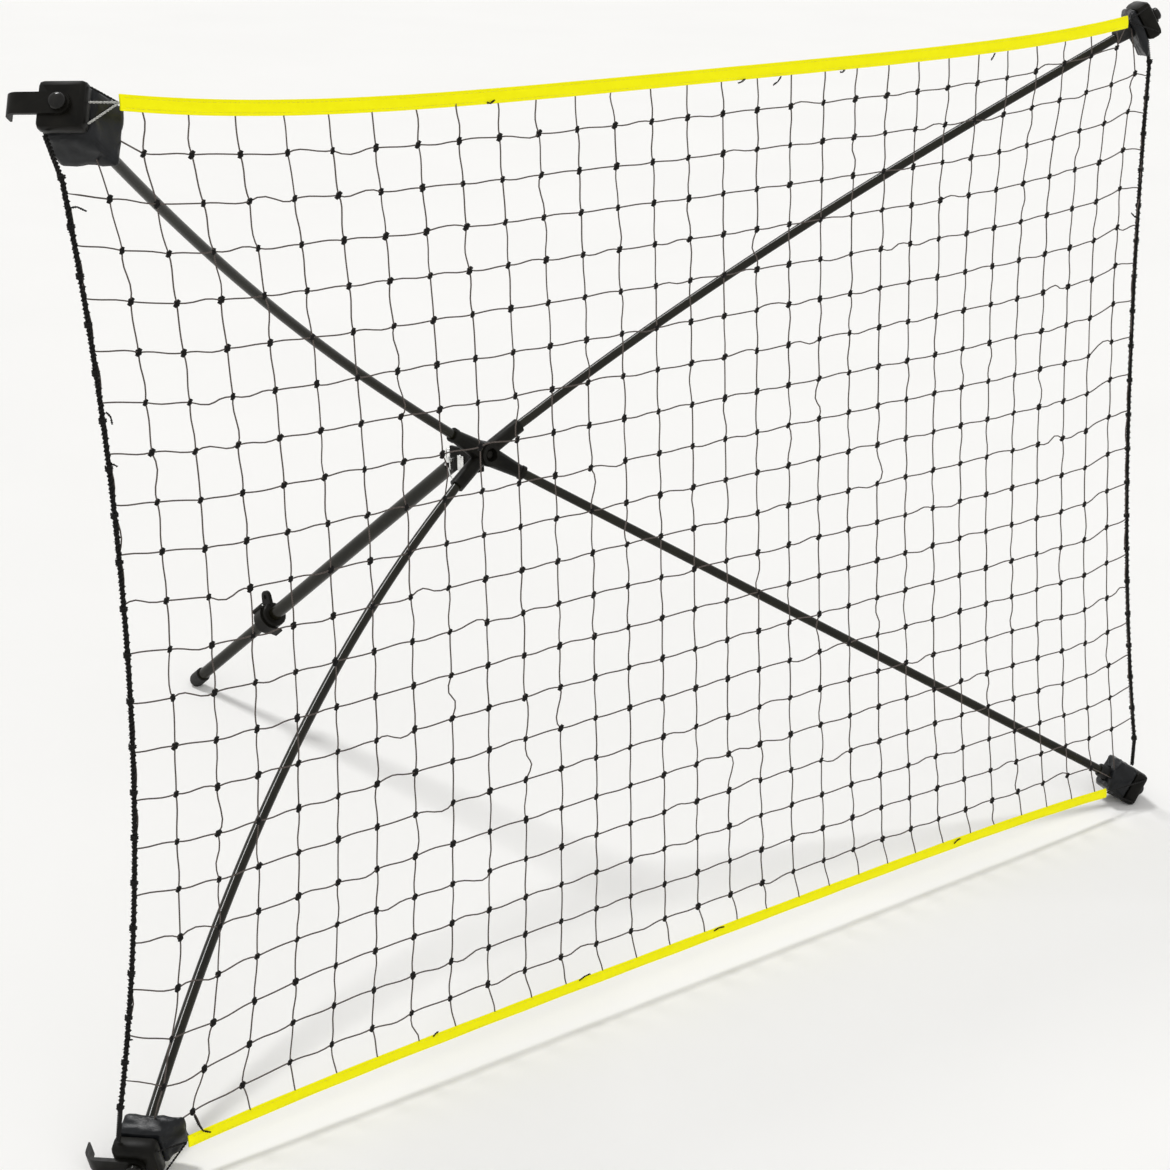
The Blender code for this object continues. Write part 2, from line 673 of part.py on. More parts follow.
def build_pin(frame):
    """The clevis pin across the ears, the spring clip through its tail, and the wire tether."""
    seat = EAR_OUTSIDE + GAP
    tail = seat + PIN_TAIL
    profile = [(0.0, tail), (PIN_RADIUS * 0.8, tail), (PIN_RADIUS, tail - PIN_RADIUS * 0.2), (PIN_RADIUS, -seat)]
    profile += [(PIN_HEAD_RADIUS, -seat), (PIN_HEAD_RADIUS, -seat - PIN_HEAD), (0.0, -seat - PIN_HEAD)]
    pin = turned("clevis_pin", frame, ZINC, profile, along(PIVOT, -RIGHT), steps=16)
    smooth(pin)
    hole = moved(-seat - PIN_TAIL / 2, PIVOT.y, PIVOT.z)
    cut(pin, rod("clip_hole", frame, None, CLIP_WIRE + GAP, -0.02, 0.02, hole, steps=12))
    points = [Vector((0.0, 0.0, -CLIP_DOWN)), Vector((0.0, 0.0, CLIP_UP))]
    for step in range(1, 9):
        turn = math.radians(180.0) * step / 8
        points.append(Vector((0.0, CLIP_BEND * (1 - math.cos(turn)), CLIP_UP + CLIP_BEND * math.sin(turn))))
    points.append(Vector((0.0, 2 * CLIP_BEND, -CLIP_DOWN * 0.3)))
    points.append(Vector((0.0, 2.8 * CLIP_BEND, -CLIP_DOWN * 0.7)))
    wire("spring_clip", frame, ZINC, points, CLIP_WIRE, hole)
    foot = build_keeper(frame)
    build_tether(frame, hole.translation, foot)


def build_keeper(frame):
    """The bright plate on the left ear with its round rivet. Returns the middle of its lower edge."""
    x = -EAR_OUTSIDE - GAP - KEEPER_THICK / 2
    middle = Vector((x, PIVOT.y - KEEPER_AHEAD, PIVOT.z - KEEPER_DROP))
    size = (KEEPER_THICK, KEEPER_WIDTH, KEEPER_HEIGHT)
    keeper = block("clip_keeper", frame, ZINC, size, Matrix.Translation(middle))
    rise = Vector((0.0, 0.0, KEEPER_HEIGHT / 2 - RIVET_RADIUS / 2))
    profile = [(0.0, RIVET_HEIGHT), (RIVET_RADIUS * 0.6, RIVET_HEIGHT * 0.8), (RIVET_RADIUS, RIVET_HEIGHT * 0.3)]
    profile += [(RIVET_RADIUS, -KEEPER_THICK / 2), (0.0, -KEEPER_THICK / 2)]
    join(keeper, turned("rivet", frame, None, profile, along(middle + rise, -RIGHT), steps=16))
    return middle - Vector((0.0, 0.0, KEEPER_HEIGHT / 2))


def build_tether(frame, hole, foot):
    """A slack loop of stiff wire from beside the spring clip's straight leg to below the keeper's foot."""
    start = hole - Vector((CLIP_WIRE + TETHER_WIRE + GAP, 0.0, CLIP_DOWN * 0.8))
    finish = foot - Vector((0.0, 0.0, TETHER_WIRE + GAP))
    points = []
    for step in range(TETHER_STEPS + 1):
        share = step / TETHER_STEPS
        sag = 4 * share * (1 - share)
        points.append(start.lerp(finish, share) - Vector((CLIP_BEND * sag, 0.0, TETHER_DROP * sag)))
    wire("pin_tether", frame, ZINC, points, TETHER_WIRE, resolution=1)


def build_upper_leg(leg):
    """The leg's eye fitting and its outer tube."""
    plug = UPPER_BORE - GAP
    shoulder = EYE_NECK
    profile = [(0.0, shoulder + EYE_PLUG), (plug, shoulder + EYE_PLUG), (plug, shoulder)]
    profile += [(UPPER_RADIUS, shoulder), (UPPER_RADIUS, EYE_START), (0.0, EYE_START)]
    eye = turned("leg_eye", leg, BLACK_NYLON, profile)
    half = EYE_THICK / 2
    cross = along(Vector(), RIGHT)
    join(eye, rod("eye_disc", leg, None, EYE_RADIUS, -half, half, cross))
    neck = EYE_START + 4 * GAP
    join(eye, block("eye_neck", leg, None, (EYE_THICK, EYE_RADIUS * 1.5, neck), moved(0.0, 0.0, neck / 2)))
    cut(eye, rod("eye_bore", leg, None, PIN_RADIUS + RUNNING_GAP, -0.1, 0.1, cross, steps=16))
    smooth(eye)
    end = CLAMP_HIGH - CLAMP_LIP - GAP
    upper = tube("leg_upper_tube", leg, SATIN_ROD, UPPER_RADIUS, UPPER_BORE, shoulder + GAP, end)
    smooth(upper)


def build_lower_leg(slide):
    """The inner tube with its guide bush at the top and the rubber foot at the bottom."""
    foot_end = LEG_LENGTH + FOOT_RADIUS
    tube_end = foot_end - FOOT_FLOOR - GAP
    tube_start = CLAMP_AT - LOWER_NESTED
    inner = LOWER_RADIUS - LOWER_WALL
    lower = tube("leg_lower_tube", slide, SATIN_ROD, LOWER_RADIUS, inner, tube_start, tube_end)
    smooth(lower)
    shoulder = tube_start - GAP
    plug = inner - GAP
    rim = UPPER_BORE - RUNNING_GAP
    profile = [(0.0, shoulder + BUSH_LENGTH), (plug, shoulder + BUSH_LENGTH), (plug, shoulder), (rim, shoulder)]
    profile += [(rim, shoulder - BUSH_LENGTH / 2), (0.0, shoulder - BUSH_LENGTH / 2)]
    bush = turned("guide_bush", slide, BLACK_NYLON, profile)
    smooth(bush)
    top = foot_end - FOOT_LENGTH
    bore = LOWER_RADIUS + GAP
    profile = []
    for step in range(6):
        turn = math.radians(90.0) * step / 5
        profile.append((FOOT_RADIUS * math.sin(turn), foot_end - FOOT_RADIUS * (1 - math.cos(turn))))
    profile += [(FOOT_RADIUS, top), (bore, top), (bore, tube_end + GAP), (0.0, tube_end + GAP)]
    foot = turned("foot_cap", slide, RUBBER, profile, steps=24)
    cut(foot, floor)
    smooth(foot)


def build_clamp(leg):
    """The clamp collar at the joint of the two tubes, its tab, and the lever that tightens it."""
    edge = CLAMP_RADIUS * 0.08
    bore = UPPER_RADIUS + GAP
    profile = [(0.0, CLAMP_HIGH), (CLAMP_RADIUS - edge, CLAMP_HIGH), (CLAMP_RADIUS, CLAMP_HIGH - edge)]
    profile += [(CLAMP_RADIUS, CLAMP_LOW + edge), (CLAMP_RADIUS - edge, CLAMP_LOW), (0.0, CLAMP_LOW)]
    collar = turned("clamp_collar", leg, BLACK_NYLON, profile)
    middle = moved(0.0, 0.0, CLAMP_AT)
    tab_axes = middle @ along(Vector(), RIGHT, UP)
    join(collar, plate("tab", leg, None, tab_outline(), TAB_THICK, tab_axes))
    knuckle = Vector((math.cos(LEVER_START), math.sin(LEVER_START), 0.0)) * (CLAMP_RADIUS + HINGE_RADIUS + 2 * GAP)
    hinge = add_empty("lever_axis", leg, middle @ Matrix.Translation(knuckle))
    cheek_half = HINGE_CHEEK / 2
    for end in (-1, 1):
        place = moved(0.0, 0.0, end * (LEVER_WIDTH / 2 + GAP + cheek_half))
        join(collar, rod(f"cheek_{end}", hinge, None, HINGE_RADIUS, -cheek_half, cheek_half, place, steps=16))
        root = place @ Matrix.Rotation(LEVER_START, 4, "Z") @ moved(-HINGE_RADIUS, 0.0, 0.0)
        join(collar, block(f"root_{end}", hinge, None, (2 * HINGE_RADIUS, 2 * HINGE_RADIUS, HINGE_CHEEK), root))
    cut(collar, rod("upper_bore", leg, None, bore, CLAMP_LOW - CLAMP_LENGTH, CLAMP_HIGH - CLAMP_LIP))
    cut(collar, rod("lower_bore", leg, None, LOWER_RADIUS + RUNNING_GAP, CLAMP_LOW, CLAMP_HIGH + CLAMP_LENGTH))
    hole = tab_axes @ moved(-TAB_SHIFT, TAB_REACH, 0.0)
    cut(collar, rod("tab_hole", leg, None, TAB_HOLE, -0.02, 0.02, hole, steps=16))
    cut(collar, rod("cheek_bore", hinge, None, HINGE_PIN + GAP, -0.05, 0.05, steps=12))
    smooth(collar)
    build_lever(hinge, knuckle)


def tab_outline():
    """The tab's side view, along the leg and out from it: a wide root inside the collar and a round end."""
    points = [Vector((-TAB_BASE, 0.0)), Vector((TAB_BASE, 0.0))]
    for step in range(24):
        turn = math.radians(360.0) * step / 24
        points.append(Vector((math.cos(turn), math.sin(turn))) * TAB_RADIUS + Vector((-TAB_SHIFT, TAB_REACH)))
    return [points[number] for number in geometry.convex_hull_2d(points)]


def lever_outline(knuckle):
    """The lever's end view from its hinge: an arc round the collar, then a tongue turned outward."""
    radius = CLAMP_RADIUS + GAP + LEVER_THICK / 2
    half = LEVER_THICK / 2
    inner, outer = [], []
    for step in range(LEVER_STEPS + 1):
        turn = LEVER_START + LEVER_SWEEP * step / LEVER_STEPS
        outward = Vector((math.cos(turn), math.sin(turn)))
        inner.append(outward * (radius - half))
        outer.append(outward * (radius + half))
    forward = Vector((math.sin(turn), -math.cos(turn)))
    tongue = (forward * 0.85 + outward * 0.5) * LEVER_TONGUE
    inner.append(inner[-1] + tongue)
    outer.append(outer[-1] + tongue)
    return [(point.x - knuckle.x, point.y - knuckle.y) for point in inner + outer[::-1]]


def build_lever(hinge, knuckle):
    """The lever hugs the collar. Its knuckle turns on a pin between two cheeks of the collar."""
    half = LEVER_WIDTH / 2
    lever = rod("clamp_lever", hinge, BLACK_NYLON, HINGE_RADIUS, -half, half, steps=16)
    join(lever, plate("lever_arm", hinge, None, lever_outline(knuckle), LEVER_WIDTH))
    cut(lever, rod("lever_bore", hinge, None, HINGE_PIN + RUNNING_GAP, -0.05, 0.05, steps=12))
    smooth(lever)
    end = half + GAP + HINGE_CHEEK
    pin = rod("lever_pin", hinge, ZINC, HINGE_PIN, -end, end, steps=12)
    smooth(pin)


def corner_depth(side):
    """How far a bottom corner moulding reaches below the net's middle once the frame leans."""
    axes = Matrix.Rotation(-LEAN, 4, "X") @ unit_axes(side, -1)
    depths = []
    for x in (-1, 1):
        for y in (-1, 1):
            for z in (-BODY_BACK, BODY_FRONT):
                depths.append(-(axes @ Vector((x * BODY_WIDTH / 2, y * BODY_HEIGHT / 2, z))).z)
    return max(depths)


def stand_on_origin(root):
    """Moves the model so that its footprint's centre is the origin and its lowest point is at height 0."""
    bpy.context.view_layer.update()
    graph = bpy.context.evaluated_depsgraph_get()
    lows, highs = [], []
    for item in parts.objects:
        if item.type == "EMPTY":
            continue
        solid = item.evaluated_get(graph)
        mesh = solid.to_mesh()
        points = np.empty(len(mesh.vertices) * 3, np.float32)
        mesh.vertices.foreach_get("co", points)
        solid.to_mesh_clear()
        place = np.array(solid.matrix_world)
        points = points.reshape(-1, 3) @ place[:3, :3].T + place[:3, 3]
        lows.append(points.min(axis=0))
        highs.append(points.max(axis=0))
    low = np.min(lows, axis=0)
    high = np.max(highs, axis=0)
    shift = moved(-(low[0] + high[0]) / 2, -(low[1] + high[1]) / 2, -low[2])
    root.matrix_basis = shift @ root.matrix_basis
    bpy.context.view_layer.update()


clear_scene()
parts = make_collection(COLLECTION)
helpers = make_collection("cutters")
HEIGHT = max(corner_depth(-1), corner_depth(1)) - BODY_SOLE
FRAME_TILT = moved(0.0, 0.0, HEIGHT) @ Matrix.Rotation(-LEAN, 4, "X")
LEG_LENGTH = ((FRAME_TILT @ PIVOT).z - FOOT_RADIUS + FOOT_SOLE) / math.sin(LEG_SLOPE)
floor = block("floor", None, None, (FLOOR_SPAN, FLOOR_SPAN, FLOOR_DEPTH), moved(0.0, 0.0, -FLOOR_DEPTH / 2))
net_frame = add_empty("net_frame", None, FRAME_TILT)
build_net(net_frame)
build_tape("top_tape", 1, TOP_TAPE, net_frame)
build_tape("bottom_tape", -1, BOTTOM_TAPE, net_frame)
build_edge_rope("left_edge_rope", -1, net_frame)
build_edge_rope("right_edge_rope", 1, net_frame)
for corner_name, (corner_side, corner_up) in CORNERS.items():
    build_rod(corner_name, corner_side, corner_up, net_frame)
    build_corner(corner_name, corner_side, corner_up, net_frame)
build_hub(net_frame)
build_bracket(net_frame)
build_pin(net_frame)
LEG_TILT = LEG_SLOPE - LEAN
leg_direction = Vector((0.0, math.cos(LEG_TILT), -math.sin(LEG_TILT)))
leg_swing = add_empty("leg_swing", net_frame, along(PIVOT, leg_direction, RIGHT))
leg_slide = add_empty("leg_slide", leg_swing, Matrix.Identity(4))
build_upper_leg(leg_swing)
build_clamp(leg_swing)
build_lower_leg(leg_slide)
stand_on_origin(net_frame)
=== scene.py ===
# %% [markdown]
# # A rebound net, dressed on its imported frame
#
# The object is a free-standing rebound net. A knotted net hangs between four corner fittings, four bowed
# rods run from the corners to one hub behind it, and a telescopic leg props the hub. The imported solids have
# the places and the joints. This lesson puts the finished surfaces on them, piece by piece: what repeats or
# follows a path is made by Geometry Nodes, and what is moulded is made from meshes and modifiers.

# %% Load the frame
import json
import math

import bmesh
import bpy
from mathutils import Euler, Matrix, Vector

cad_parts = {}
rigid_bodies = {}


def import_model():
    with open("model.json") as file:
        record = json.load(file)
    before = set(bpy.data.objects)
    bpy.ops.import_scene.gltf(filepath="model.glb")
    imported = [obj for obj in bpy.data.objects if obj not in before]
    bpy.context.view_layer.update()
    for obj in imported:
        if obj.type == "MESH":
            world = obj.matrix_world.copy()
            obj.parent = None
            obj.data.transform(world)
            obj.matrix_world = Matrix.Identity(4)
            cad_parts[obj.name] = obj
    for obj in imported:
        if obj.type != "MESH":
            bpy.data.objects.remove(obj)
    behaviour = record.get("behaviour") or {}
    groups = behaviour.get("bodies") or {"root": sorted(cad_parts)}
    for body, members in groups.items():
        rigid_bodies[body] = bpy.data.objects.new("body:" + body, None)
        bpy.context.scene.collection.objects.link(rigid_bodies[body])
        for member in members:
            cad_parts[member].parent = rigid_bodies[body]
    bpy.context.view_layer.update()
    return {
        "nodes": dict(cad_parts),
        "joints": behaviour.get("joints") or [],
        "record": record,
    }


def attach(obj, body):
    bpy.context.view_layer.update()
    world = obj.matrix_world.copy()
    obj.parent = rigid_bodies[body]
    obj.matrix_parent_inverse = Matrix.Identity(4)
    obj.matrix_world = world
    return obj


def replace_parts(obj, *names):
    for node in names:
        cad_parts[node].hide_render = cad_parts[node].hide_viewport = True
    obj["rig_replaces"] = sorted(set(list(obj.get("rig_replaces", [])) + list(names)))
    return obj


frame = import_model()
nodes = frame["nodes"]
joints = {joint["name"]: joint for joint in frame["joints"]}

# %% [markdown]
# The frame leans back by a little over 6 degrees. All its sizes are easier to write in axes that lean with
# it, with the origin in the middle of the net, +X to the right, +Y back and +Z up the net. The leg's pivot
# is known in both sets of axes, so it ties them together.

# %% The leaning axes of the frame
LEAN = math.radians(6.4)
HUB = Vector((0.0, 0.3910, 0.0150))
PIVOT = HUB + Vector((0.0, 0.0450, -0.0117))
swing = Vector(joints["leg_swing"]["pos_m"])
TILT = Matrix.Translation(swing) @ Matrix.Rotation(-LEAN, 4, "X") @ Matrix.Translation(-PIVOT)
print("middle of the net", [round(value, 4) for value in TILT.translation])

# %% [markdown]
# The camera stands to the left of the net, a little above it, about three metres off. Its lens is long, so
# the square cells stay nearly square. Its place and its turn are written in the leaning axes.


# %% Camera
def scene_object(name, data):
    """A new object in the scene, with its data."""
    made = bpy.data.objects.new(name, data)
    bpy.context.scene.collection.objects.link(made)
    return made


CAMERA_PLACE = Vector((-2.04628, -2.10467, 0.70736))
CAMERA_TURN = Euler([math.radians(angle) for angle in (75.059, 1.309, -41.805)])
CAMERA_LENS = 83.71
SENSOR_WIDTH = 36.0

view = bpy.data.cameras.new("camera")
view.lens = CAMERA_LENS
view.sensor_width = SENSOR_WIDTH
camera = scene_object("camera", view)
camera.matrix_world = TILT @ Matrix.LocRotScale(CAMERA_PLACE, CAMERA_TURN, None)
bpy.context.scene.camera = camera
print("camera at", [round(value, 3) for value in camera.matrix_world.translation])

# %% [markdown]
# Both materials and Geometry Nodes are built from the same small helper: it adds a node, sets its options,
# and fills its sockets with a value or a link.


# %% Helpers for node trees
def add(tree, kind, wires=None, **settings):
    """A node in the tree. Wires fill its sockets, each with a value or with another node's output."""
    made = tree.nodes.new(kind)
    for name, value in settings.items():
        setattr(made, name, value)
    for key, value in (wires or {}).items():
        if isinstance(value, bpy.types.NodeSocket):
            tree.links.new(value, made.inputs[key])
        else:
            made.inputs[key].default_value = value
    return made


def maths(tree, first, second, operation="MULTIPLY"):
    """Two values multiplied, or put through another operation."""
    return add(tree, "ShaderNodeMath", {0: first, 1: second}, operation=operation).outputs[0]


# %% [markdown]
# Every finish starts the same way: a Principled shader whose plain numbers sit on its own sockets, and a
# pattern that runs between a dark and a light shade. Most also vary the gloss, or have a bump with the
# grain's real size in metres.


# %% Helpers for finishes
RAMP_START, RAMP_END = 0.32, 0.68


def finish(name, roughness, metallic=0.0, **sockets):
    """A material with its tree, its shader and its object coordinates."""
    made = bpy.data.materials.new(name)
    made.use_nodes = True
    tree = made.node_tree
    shader = tree.nodes["Principled BSDF"]
    shader.inputs["Roughness"].default_value = roughness
    shader.inputs["Metallic"].default_value = metallic
    for key, value in sockets.items():
        shader.inputs[key.replace("_", " ")].default_value = value
    place = add(tree, "ShaderNodeTexCoord").outputs["Object"]
    return made, tree, shader, place


def noise(tree, place, size, detail=3.0):
    """Soft spots of about the given size in metres."""
    wires = {"Vector": place, "Scale": 1.0 / size, "Detail": detail}
    return add(tree, "ShaderNodeTexNoise", wires).outputs["Fac"]


def colour_by(tree, shader, amount, shades):
    """A colour that runs from the dark to the light shade with the amount."""
    ramp = add(tree, "ShaderNodeValToRGB", {"Fac": amount})
    for stop, position, shade in zip(ramp.color_ramp.elements, (RAMP_START, RAMP_END), shades):
        stop.position = position
        stop.color = (*shade, 1.0)
    tree.links.new(ramp.outputs["Color"], shader.inputs["Base Color"])


def bump_by(tree, shader, height, depth, strength=1.0):
    """Relief of the given depth in metres."""
    made = add(tree, "ShaderNodeBump", {"Height": height, "Distance": depth, "Strength": strength})
    tree.links.new(made.outputs["Normal"], shader.inputs["Normal"])


def gloss_by(tree, shader, amount, low, high):
    """A roughness that runs from low to high with the amount."""
    made = add(tree, "ShaderNodeMapRange", {"Value": amount, "To Min": low, "To Max": high})
    tree.links.new(made.outputs["Result"], shader.inputs["Roughness"])


# %% [markdown]
# The moulded fittings are black nylon with a fine eroded grain, and their round screw heads are polished and
# catch the light. The rods and tubes are coated dark olive grey, smooth enough to show a soft line of light.
# The boots are soft vinyl with a leathery crease, which a Voronoi texture's borders give.

# %% Finishes of the hard pieces
BLACK_MOULDING = ((0.0030, 0.0028, 0.0022), (0.0085, 0.0080, 0.0062))
OLIVE_GREY = ((0.0060, 0.0057, 0.0030), (0.0110, 0.0103, 0.0056))
BLACK_VINYL = ((0.0030, 0.0034, 0.0038), (0.0080, 0.0090, 0.0105))
BLACK_RUBBER = ((0.008, 0.008, 0.008), (0.020, 0.020, 0.019))
BRIGHT_ZINC = ((0.62, 0.63, 0.62), (0.86, 0.86, 0.83))
CREASES_PER_METRE = 900.0

nylon, tree, shader, place = finish("black_nylon", 0.40, Specular_IOR_Level=0.10)
colour_by(tree, shader, noise(tree, place, size=0.02), BLACK_MOULDING)
bump_by(tree, shader, noise(tree, place, size=0.0006, detail=2.0), depth=0.00006, strength=0.6)
gloss_by(tree, shader, noise(tree, place, size=0.008), low=0.30, high=0.48)

polished, tree, shader, place = finish("polished_black", 0.16, Specular_IOR_Level=0.22)
colour_by(tree, shader, noise(tree, place, size=0.006), BLACK_MOULDING)
bump_by(tree, shader, noise(tree, place, size=0.0030, detail=2.0), depth=0.00020, strength=0.6)
gloss_by(tree, shader, noise(tree, place, size=0.004), low=0.10, high=0.24)

coat, tree, shader, place = finish("olive_coat", 0.34, Specular_IOR_Level=0.03,
                                   Coat_Weight=0.36, Coat_Roughness=0.12)
colour_by(tree, shader, noise(tree, place, size=0.03), OLIVE_GREY)
bump_by(tree, shader, noise(tree, place, size=0.0012), depth=0.00003, strength=0.4)
gloss_by(tree, shader, noise(tree, place, size=0.015), low=0.28, high=0.42)

vinyl, tree, shader, place = finish("boot_vinyl", 0.30, Specular_IOR_Level=0.22)
colour_by(tree, shader, noise(tree, place, size=0.012), BLACK_VINYL)
cells = add(tree, "ShaderNodeTexVoronoi", {"Vector": place, "Scale": CREASES_PER_METRE},
            feature="DISTANCE_TO_EDGE")
creases = maths(tree, cells.outputs["Distance"], maths(tree, noise(tree, place, size=0.006), 0.5), "ADD")
bump_by(tree, shader, creases, depth=0.00025, strength=0.5)

rubber, tree, shader, place = finish("black_rubber", 0.62, Specular_IOR_Level=0.25)
colour_by(tree, shader, noise(tree, place, size=0.006), BLACK_RUBBER)
bump_by(tree, shader, noise(tree, place, size=0.0008), depth=0.00008, strength=0.6)

zinc, tree, shader, place = finish("bright_zinc", 0.24, 1.0)
colour_by(tree, shader, noise(tree, place, size=0.004), BRIGHT_ZINC)
gloss_by(tree, shader, noise(tree, place, size=0.002), low=0.16, high=0.34)
print("finishes", [item.name for item in (nylon, polished, coat, vinyl, rubber, zinc)])

# %% [markdown]
# Twine and webbing carry their pattern along their own length, so they read a UV map that runs in metres
# along the piece and around it. Twine has slanted ribs, and webbing has a weave from two crossed waves. In
# both, the colour is darker where the ribs or threads dip, which is painted shade, on top of a random tone.


# %% Finishes of the twine and the webbing
BLACK_TWINE = ((0.003, 0.003, 0.003), (0.016, 0.015, 0.014))
NET_TWINE = ((0.045, 0.036, 0.032), (0.150, 0.125, 0.112))
PALE_TWINE = ((0.30, 0.30, 0.28), (0.66, 0.66, 0.62))
YELLOW_WEBBING = ((0.90, 0.85, 0.002), (1.0, 0.97, 0.004))
YELLOW_THREAD = ((0.72, 0.66, 0.01), (0.95, 0.90, 0.02))
TWINE_PITCH = 0.003
THREADS_PER_METRE = 330.0


def strand_map(tree):
    """The UV map that every strand, cord and tape carries."""
    return add(tree, "ShaderNodeUVMap", uv_map="strand").outputs["UV"]


def twine_finish(name, shades):
    """Laid twine, with its ribs, a random tone of its fibres, and painted shade in the grooves between the
    ribs.
    """
    made, tree, shader, place = finish(name, 0.75, Specular_IOR_Level=0.2)
    ribs = add(tree, "ShaderNodeTexWave",
               {"Vector": strand_map(tree), "Scale": 1.0 / TWINE_PITCH, "Distortion": 0.4},
               bands_direction="DIAGONAL")
    # The ribs and the noise give both the bump and the colour. The colour is painted shade, darker in the
    # grooves between the ribs, with a random tone from the noise.
    relief_and_groove_shade = maths(tree, ribs.outputs["Fac"], noise(tree, place, size=0.0009), "ADD")
    colour_by(tree, shader, maths(tree, relief_and_groove_shade, 0.5), shades)
    bump_by(tree, shader, relief_and_groove_shade, depth=0.0003, strength=0.7)
    return made


def threads(tree, along, direction):
    """The even waves of the threads that lie one way in the webbing."""
    return add(tree, "ShaderNodeTexWave", {"Vector": along, "Scale": THREADS_PER_METRE},
               bands_direction=direction).outputs["Fac"]


black_twine = twine_finish("black_twine", BLACK_TWINE)
net_twine = twine_finish("net_twine", NET_TWINE)
pale_twine = twine_finish("pale_twine", PALE_TWINE)

webbing, tree, shader, place = finish("yellow_webbing", 0.68, Specular_IOR_Level=0.12)
weave_map = strand_map(tree)
weave = maths(tree, threads(tree, weave_map, "X"), threads(tree, weave_map, "Y"))
# The colour follows the weave's relief. It is painted shade, darker where the threads dip, mixed with a
# random tone from the noise.
shade = maths(tree, maths(tree, weave, 0.5), maths(tree, noise(tree, place, size=0.01), 0.5), "ADD")
colour_by(tree, shader, shade, YELLOW_WEBBING)
bump_by(tree, shader, weave, depth=0.0002, strength=0.5)

thread, tree, shader, place = finish("yellow_thread", 0.55)
colour_by(tree, shader, noise(tree, place, size=0.002), YELLOW_THREAD)
bump_by(tree, shader, noise(tree, place, size=0.0004), depth=0.0001, strength=0.6)
print("finishes", [item.name for item in (black_twine, net_twine, pale_twine, webbing, thread)])

# %% [markdown]
# A Geometry Nodes tree here takes a line, a grid or a skin and gives back finished geometry. One helper opens
# a tree with named inputs, and another runs it once, keeps the result as a plain mesh, and lets the
# modifier go.


# %% Helpers for Geometry Nodes
def open_tree(name, **inputs):
    """A tree with named inputs. A number, a whole number and a material each get their own kind of socket."""
    tree = bpy.data.node_groups.new(name, "GeometryNodeTree")
    tree.is_modifier = True
    tree.interface.new_socket("Geometry", in_out="INPUT", socket_type="NodeSocketGeometry")
    for label, value in inputs.items():
        kind = {float: "NodeSocketFloat", int: "NodeSocketInt"}.get(type(value), "NodeSocketMaterial")
        socket = tree.interface.new_socket(label.replace("_", " "), in_out="INPUT", socket_type=kind)
        socket.default_value = value
    tree.interface.new_socket("Geometry", in_out="OUTPUT", socket_type="NodeSocketGeometry")
    return tree, add(tree, "NodeGroupInput").outputs


def close_tree(tree, shape):
    """The end of every tree: real geometry, smooth faces and the material that the tree is given."""
    material = tree.nodes["Group Input"].outputs["Material"]
    solid = add(tree, "GeometryNodeRealizeInstances", {"Geometry": shape}).outputs[0]
    smooth = add(tree, "GeometryNodeSetShadeSmooth", {"Geometry": solid}).outputs[0]
    painted = add(tree, "GeometryNodeSetMaterial", {"Geometry": smooth, "Material": material}).outputs[0]
    add(tree, "NodeGroupOutput", {"Geometry": painted})
    print("tree", tree.name, "nodes", len(tree.nodes))


def placed_object(name, mesh, place):
    """A plain object at the origin, with its place in its mesh."""
    mesh.transform(place)
    return scene_object(name, mesh)


def grow(name, source, tree, place=TILT, **inputs):
    """Runs a tree on an object, keeps the result as a plain mesh, and removes what it grew from."""
    modifier = source.modifiers.new("grow", "NODES")
    modifier.node_group = tree
    for item in tree.interface.items_tree:
        key = item.name.replace(" ", "_")
        if item.in_out == "INPUT" and key in inputs:
            modifier[item.identifier] = inputs[key]
    graph = bpy.context.evaluated_depsgraph_get()
    mesh = bpy.data.meshes.new_from_object(source.evaluated_get(graph))
    bpy.data.objects.remove(source)
    mesh.name = name
    made = placed_object(name, mesh, place)
    print(name, "triangles", sum(len(face.vertices) - 2 for face in mesh.polygons))
    return made


def line_object(points):
    """A curve object through the points, for a tree to grow on."""
    curve = bpy.data.curves.new("path", "CURVE")
    curve.dimensions = "3D"
    spline = curve.splines.new("POLY")
    spline.points.add(len(points) - 1)
    for slot, point in zip(spline.points, points):
        slot.co = (*point, 1.0)
    return scene_object("path", curve)


# %% [markdown]
# Most trees sweep a small circle along a line. A sweep loses the lengths along the line and round the
# circle, so both are kept before it and stored after it, as the UV map that the twine finish reads.


# %% Helpers for sweeping and repeating
def circle(tree, sides, radius):
    """A circle, as a profile or as a line to sweep along."""
    return add(tree, "GeometryNodeCurvePrimitiveCircle", {"Resolution": sides, "Radius": radius}).outputs[0]


def with_length(tree, line, label):
    """A line that keeps each point's distance along it, and that distance."""
    keep = add(tree, "GeometryNodeCaptureAttribute", {"Geometry": line}, domain="POINT")
    keep.capture_items.new("FLOAT", label)
    tree.links.new(add(tree, "GeometryNodeSplineParameter").outputs["Length"], keep.inputs[label])
    return keep.outputs["Geometry"], keep.outputs[label]


def swept(tree, line, profile, caps=True):
    """A profile swept along a line, with a UV map in metres."""
    line, along = with_length(tree, line, "along")
    profile, around = with_length(tree, profile, "around")
    wires = {"Curve": line, "Profile Curve": profile, "Fill Caps": caps}
    made = add(tree, "GeometryNodeCurveToMesh", wires).outputs[0]
    pair = add(tree, "ShaderNodeCombineXYZ", {"X": along, "Y": around}).outputs[0]
    return add(tree, "GeometryNodeStoreNamedAttribute", {"Geometry": made, "Name": "strand", "Value": pair},
               data_type="FLOAT2", domain="CORNER").outputs[0]


